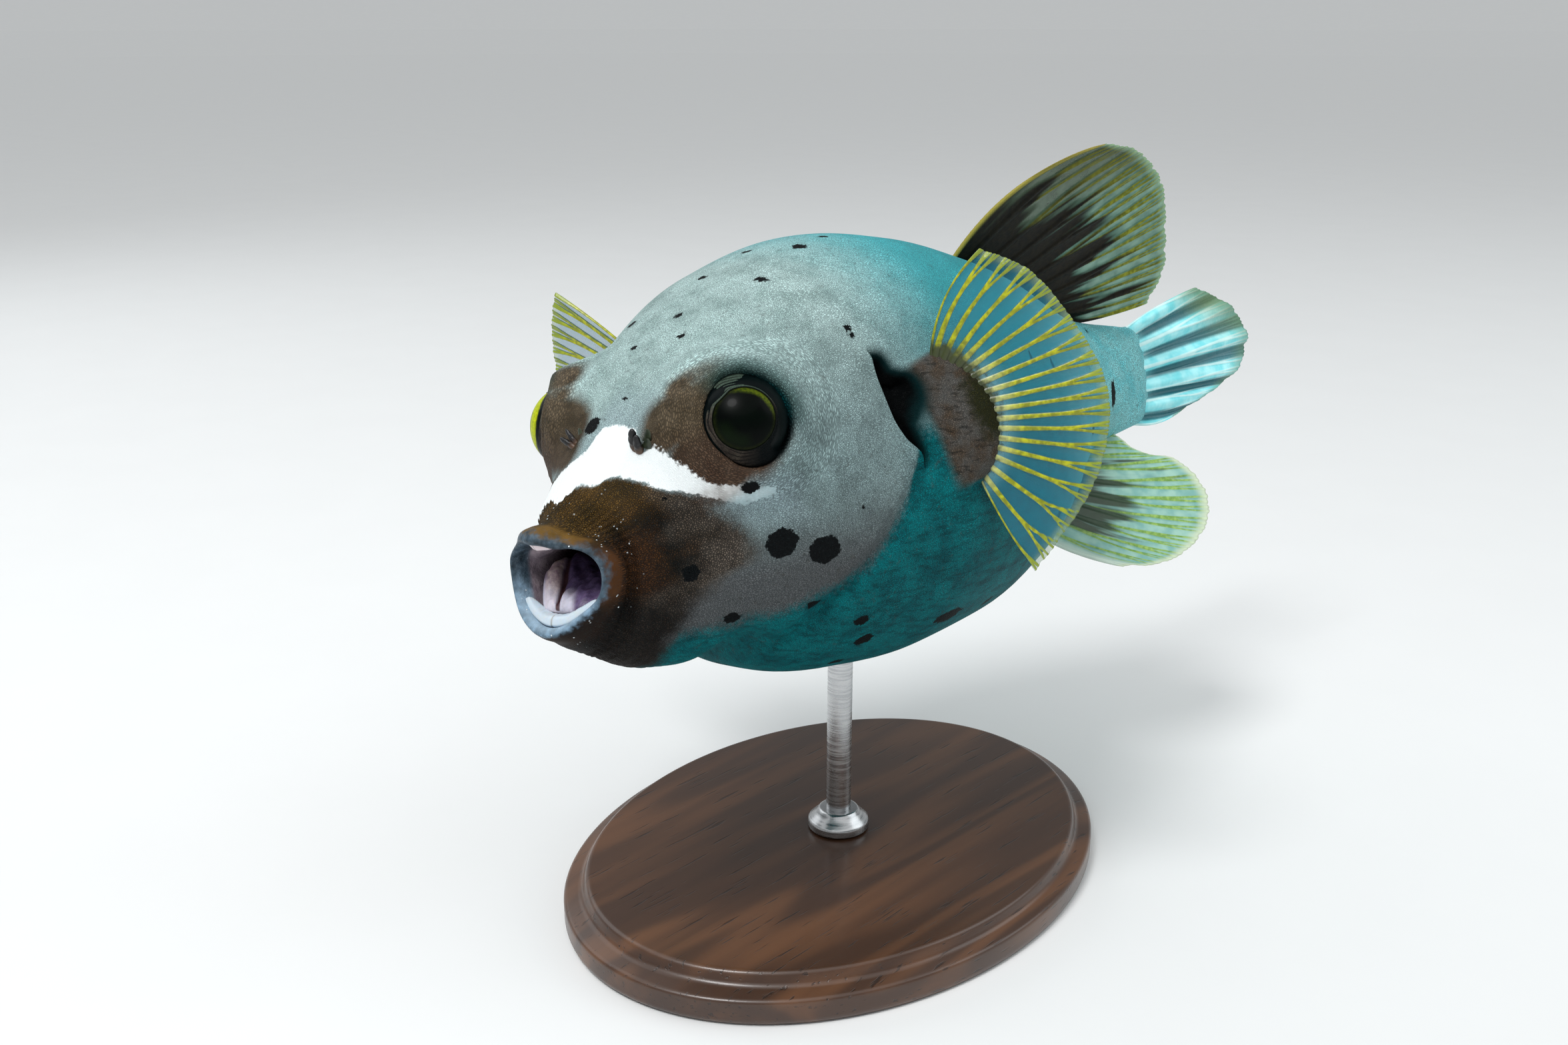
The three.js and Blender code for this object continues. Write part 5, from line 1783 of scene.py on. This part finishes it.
def rounded(corners, radius, steps=7):
    """Profile through corners, each rounded by a quadratic curve of the given reach."""
    corners = np.array(corners, float)
    path = [corners[:1]]
    t = np.linspace(0, 1, steps)[:, None]
    for before, at, after in zip(corners[:-2], corners[1:-1], corners[2:]):
        enter = at + unit(before - at) * min(radius, np.linalg.norm(before - at) / 2)
        leave = at + unit(after - at) * min(radius, np.linalg.norm(after - at) / 2)
        path.append((1 - t) ** 2 * enter + 2 * t * (1 - t) * at + t**2 * leave)
    return np.vstack(path + [corners[-1:]])


# %% Plinth of polished walnut
narrow, long, top = base_high
bottom = base_low[2]
plinth_outline = [
    (1e-4, bottom), (narrow - 0.0008, bottom), (narrow, 0.0012), (narrow, 0.0062),
    (narrow - 0.0035, 0.0072), (narrow - 0.0045, top), (1e-4, top),
]
plinth = turned("plinth", rounded(plinth_outline, 0.0009), 200, long - narrow)
walnut = Finish("walnut", Roughness=0.38, Coat_Weight=0.35, Coat_Roughness=0.18)
drift = walnut.noise(60, walnut.spread(1, 0.22, 1), detail=3)
figure = walnut.noise(9, walnut.spread(1, 0.05, 1), detail=4)
bands = walnut.maths("SINE", 40 * walnut.noise(30, walnut.spread(1, 0.12, 1)) + 14 * drift)
pores = step(0.12, 0.2, walnut.noise(0.9, walnut.spread(1, 0.06, 1), detail=2))
timber = mix(step(-1, 1, bands), srgb(66, 42, 27), srgb(98, 64, 40))
timber = mix(step(-0.2, 0.3, figure), timber, srgb(56, 35, 23))
timber = mix(0.7 * pores, timber, srgb(30, 18, 12))
dress(plinth, walnut.done(timber, None, -0.06 * pores), ("stand_base",))

# %% [markdown]
# ## Rod and collar
#
# Both are turned from the same brushed steel. Brushing shows as fine rings in the gloss, so
# stretched noise drives the roughness and a shallow relief, not the colour alone.

# %% Brushed steel
steel = Finish("brushed_steel", Metallic=1.0)
brushed = steel.noise(0.35, steel.spread(0.05, 0.05, 1), detail=3)
silver = mix(step(-0.25, 0.25, brushed), srgb(168, 170, 172), srgb(206, 207, 208))
steel_finish = steel.done(silver, blend(step(-0.3, 0.3, brushed), 0.2, 0.36), 0.02 * brushed)
foot, wide, height = collar_low[2], collar_high[0], collar_high[2] - collar_low[2]
rod_outline = [(1e-5, foot), (ROD_RADIUS, foot), (ROD_RADIUS, ROD_TOP), (1e-5, ROD_TOP)]
rod = turned("rod", rounded(rod_outline, 0.0003), 64)
collar_outline = [
    (ROD_RADIUS, foot), (wide, foot), (wide, foot + 0.4 * height),
    (0.75 * wide, foot + 0.75 * height), (0.62 * wide, foot + height),
    (ROD_RADIUS, foot + height),
]
collar = turned("collar", rounded(collar_outline, 0.0005), 96)
dress(rod, steel_finish, ("stand_rod",))
dress(collar, steel_finish, ("stand_collar",))
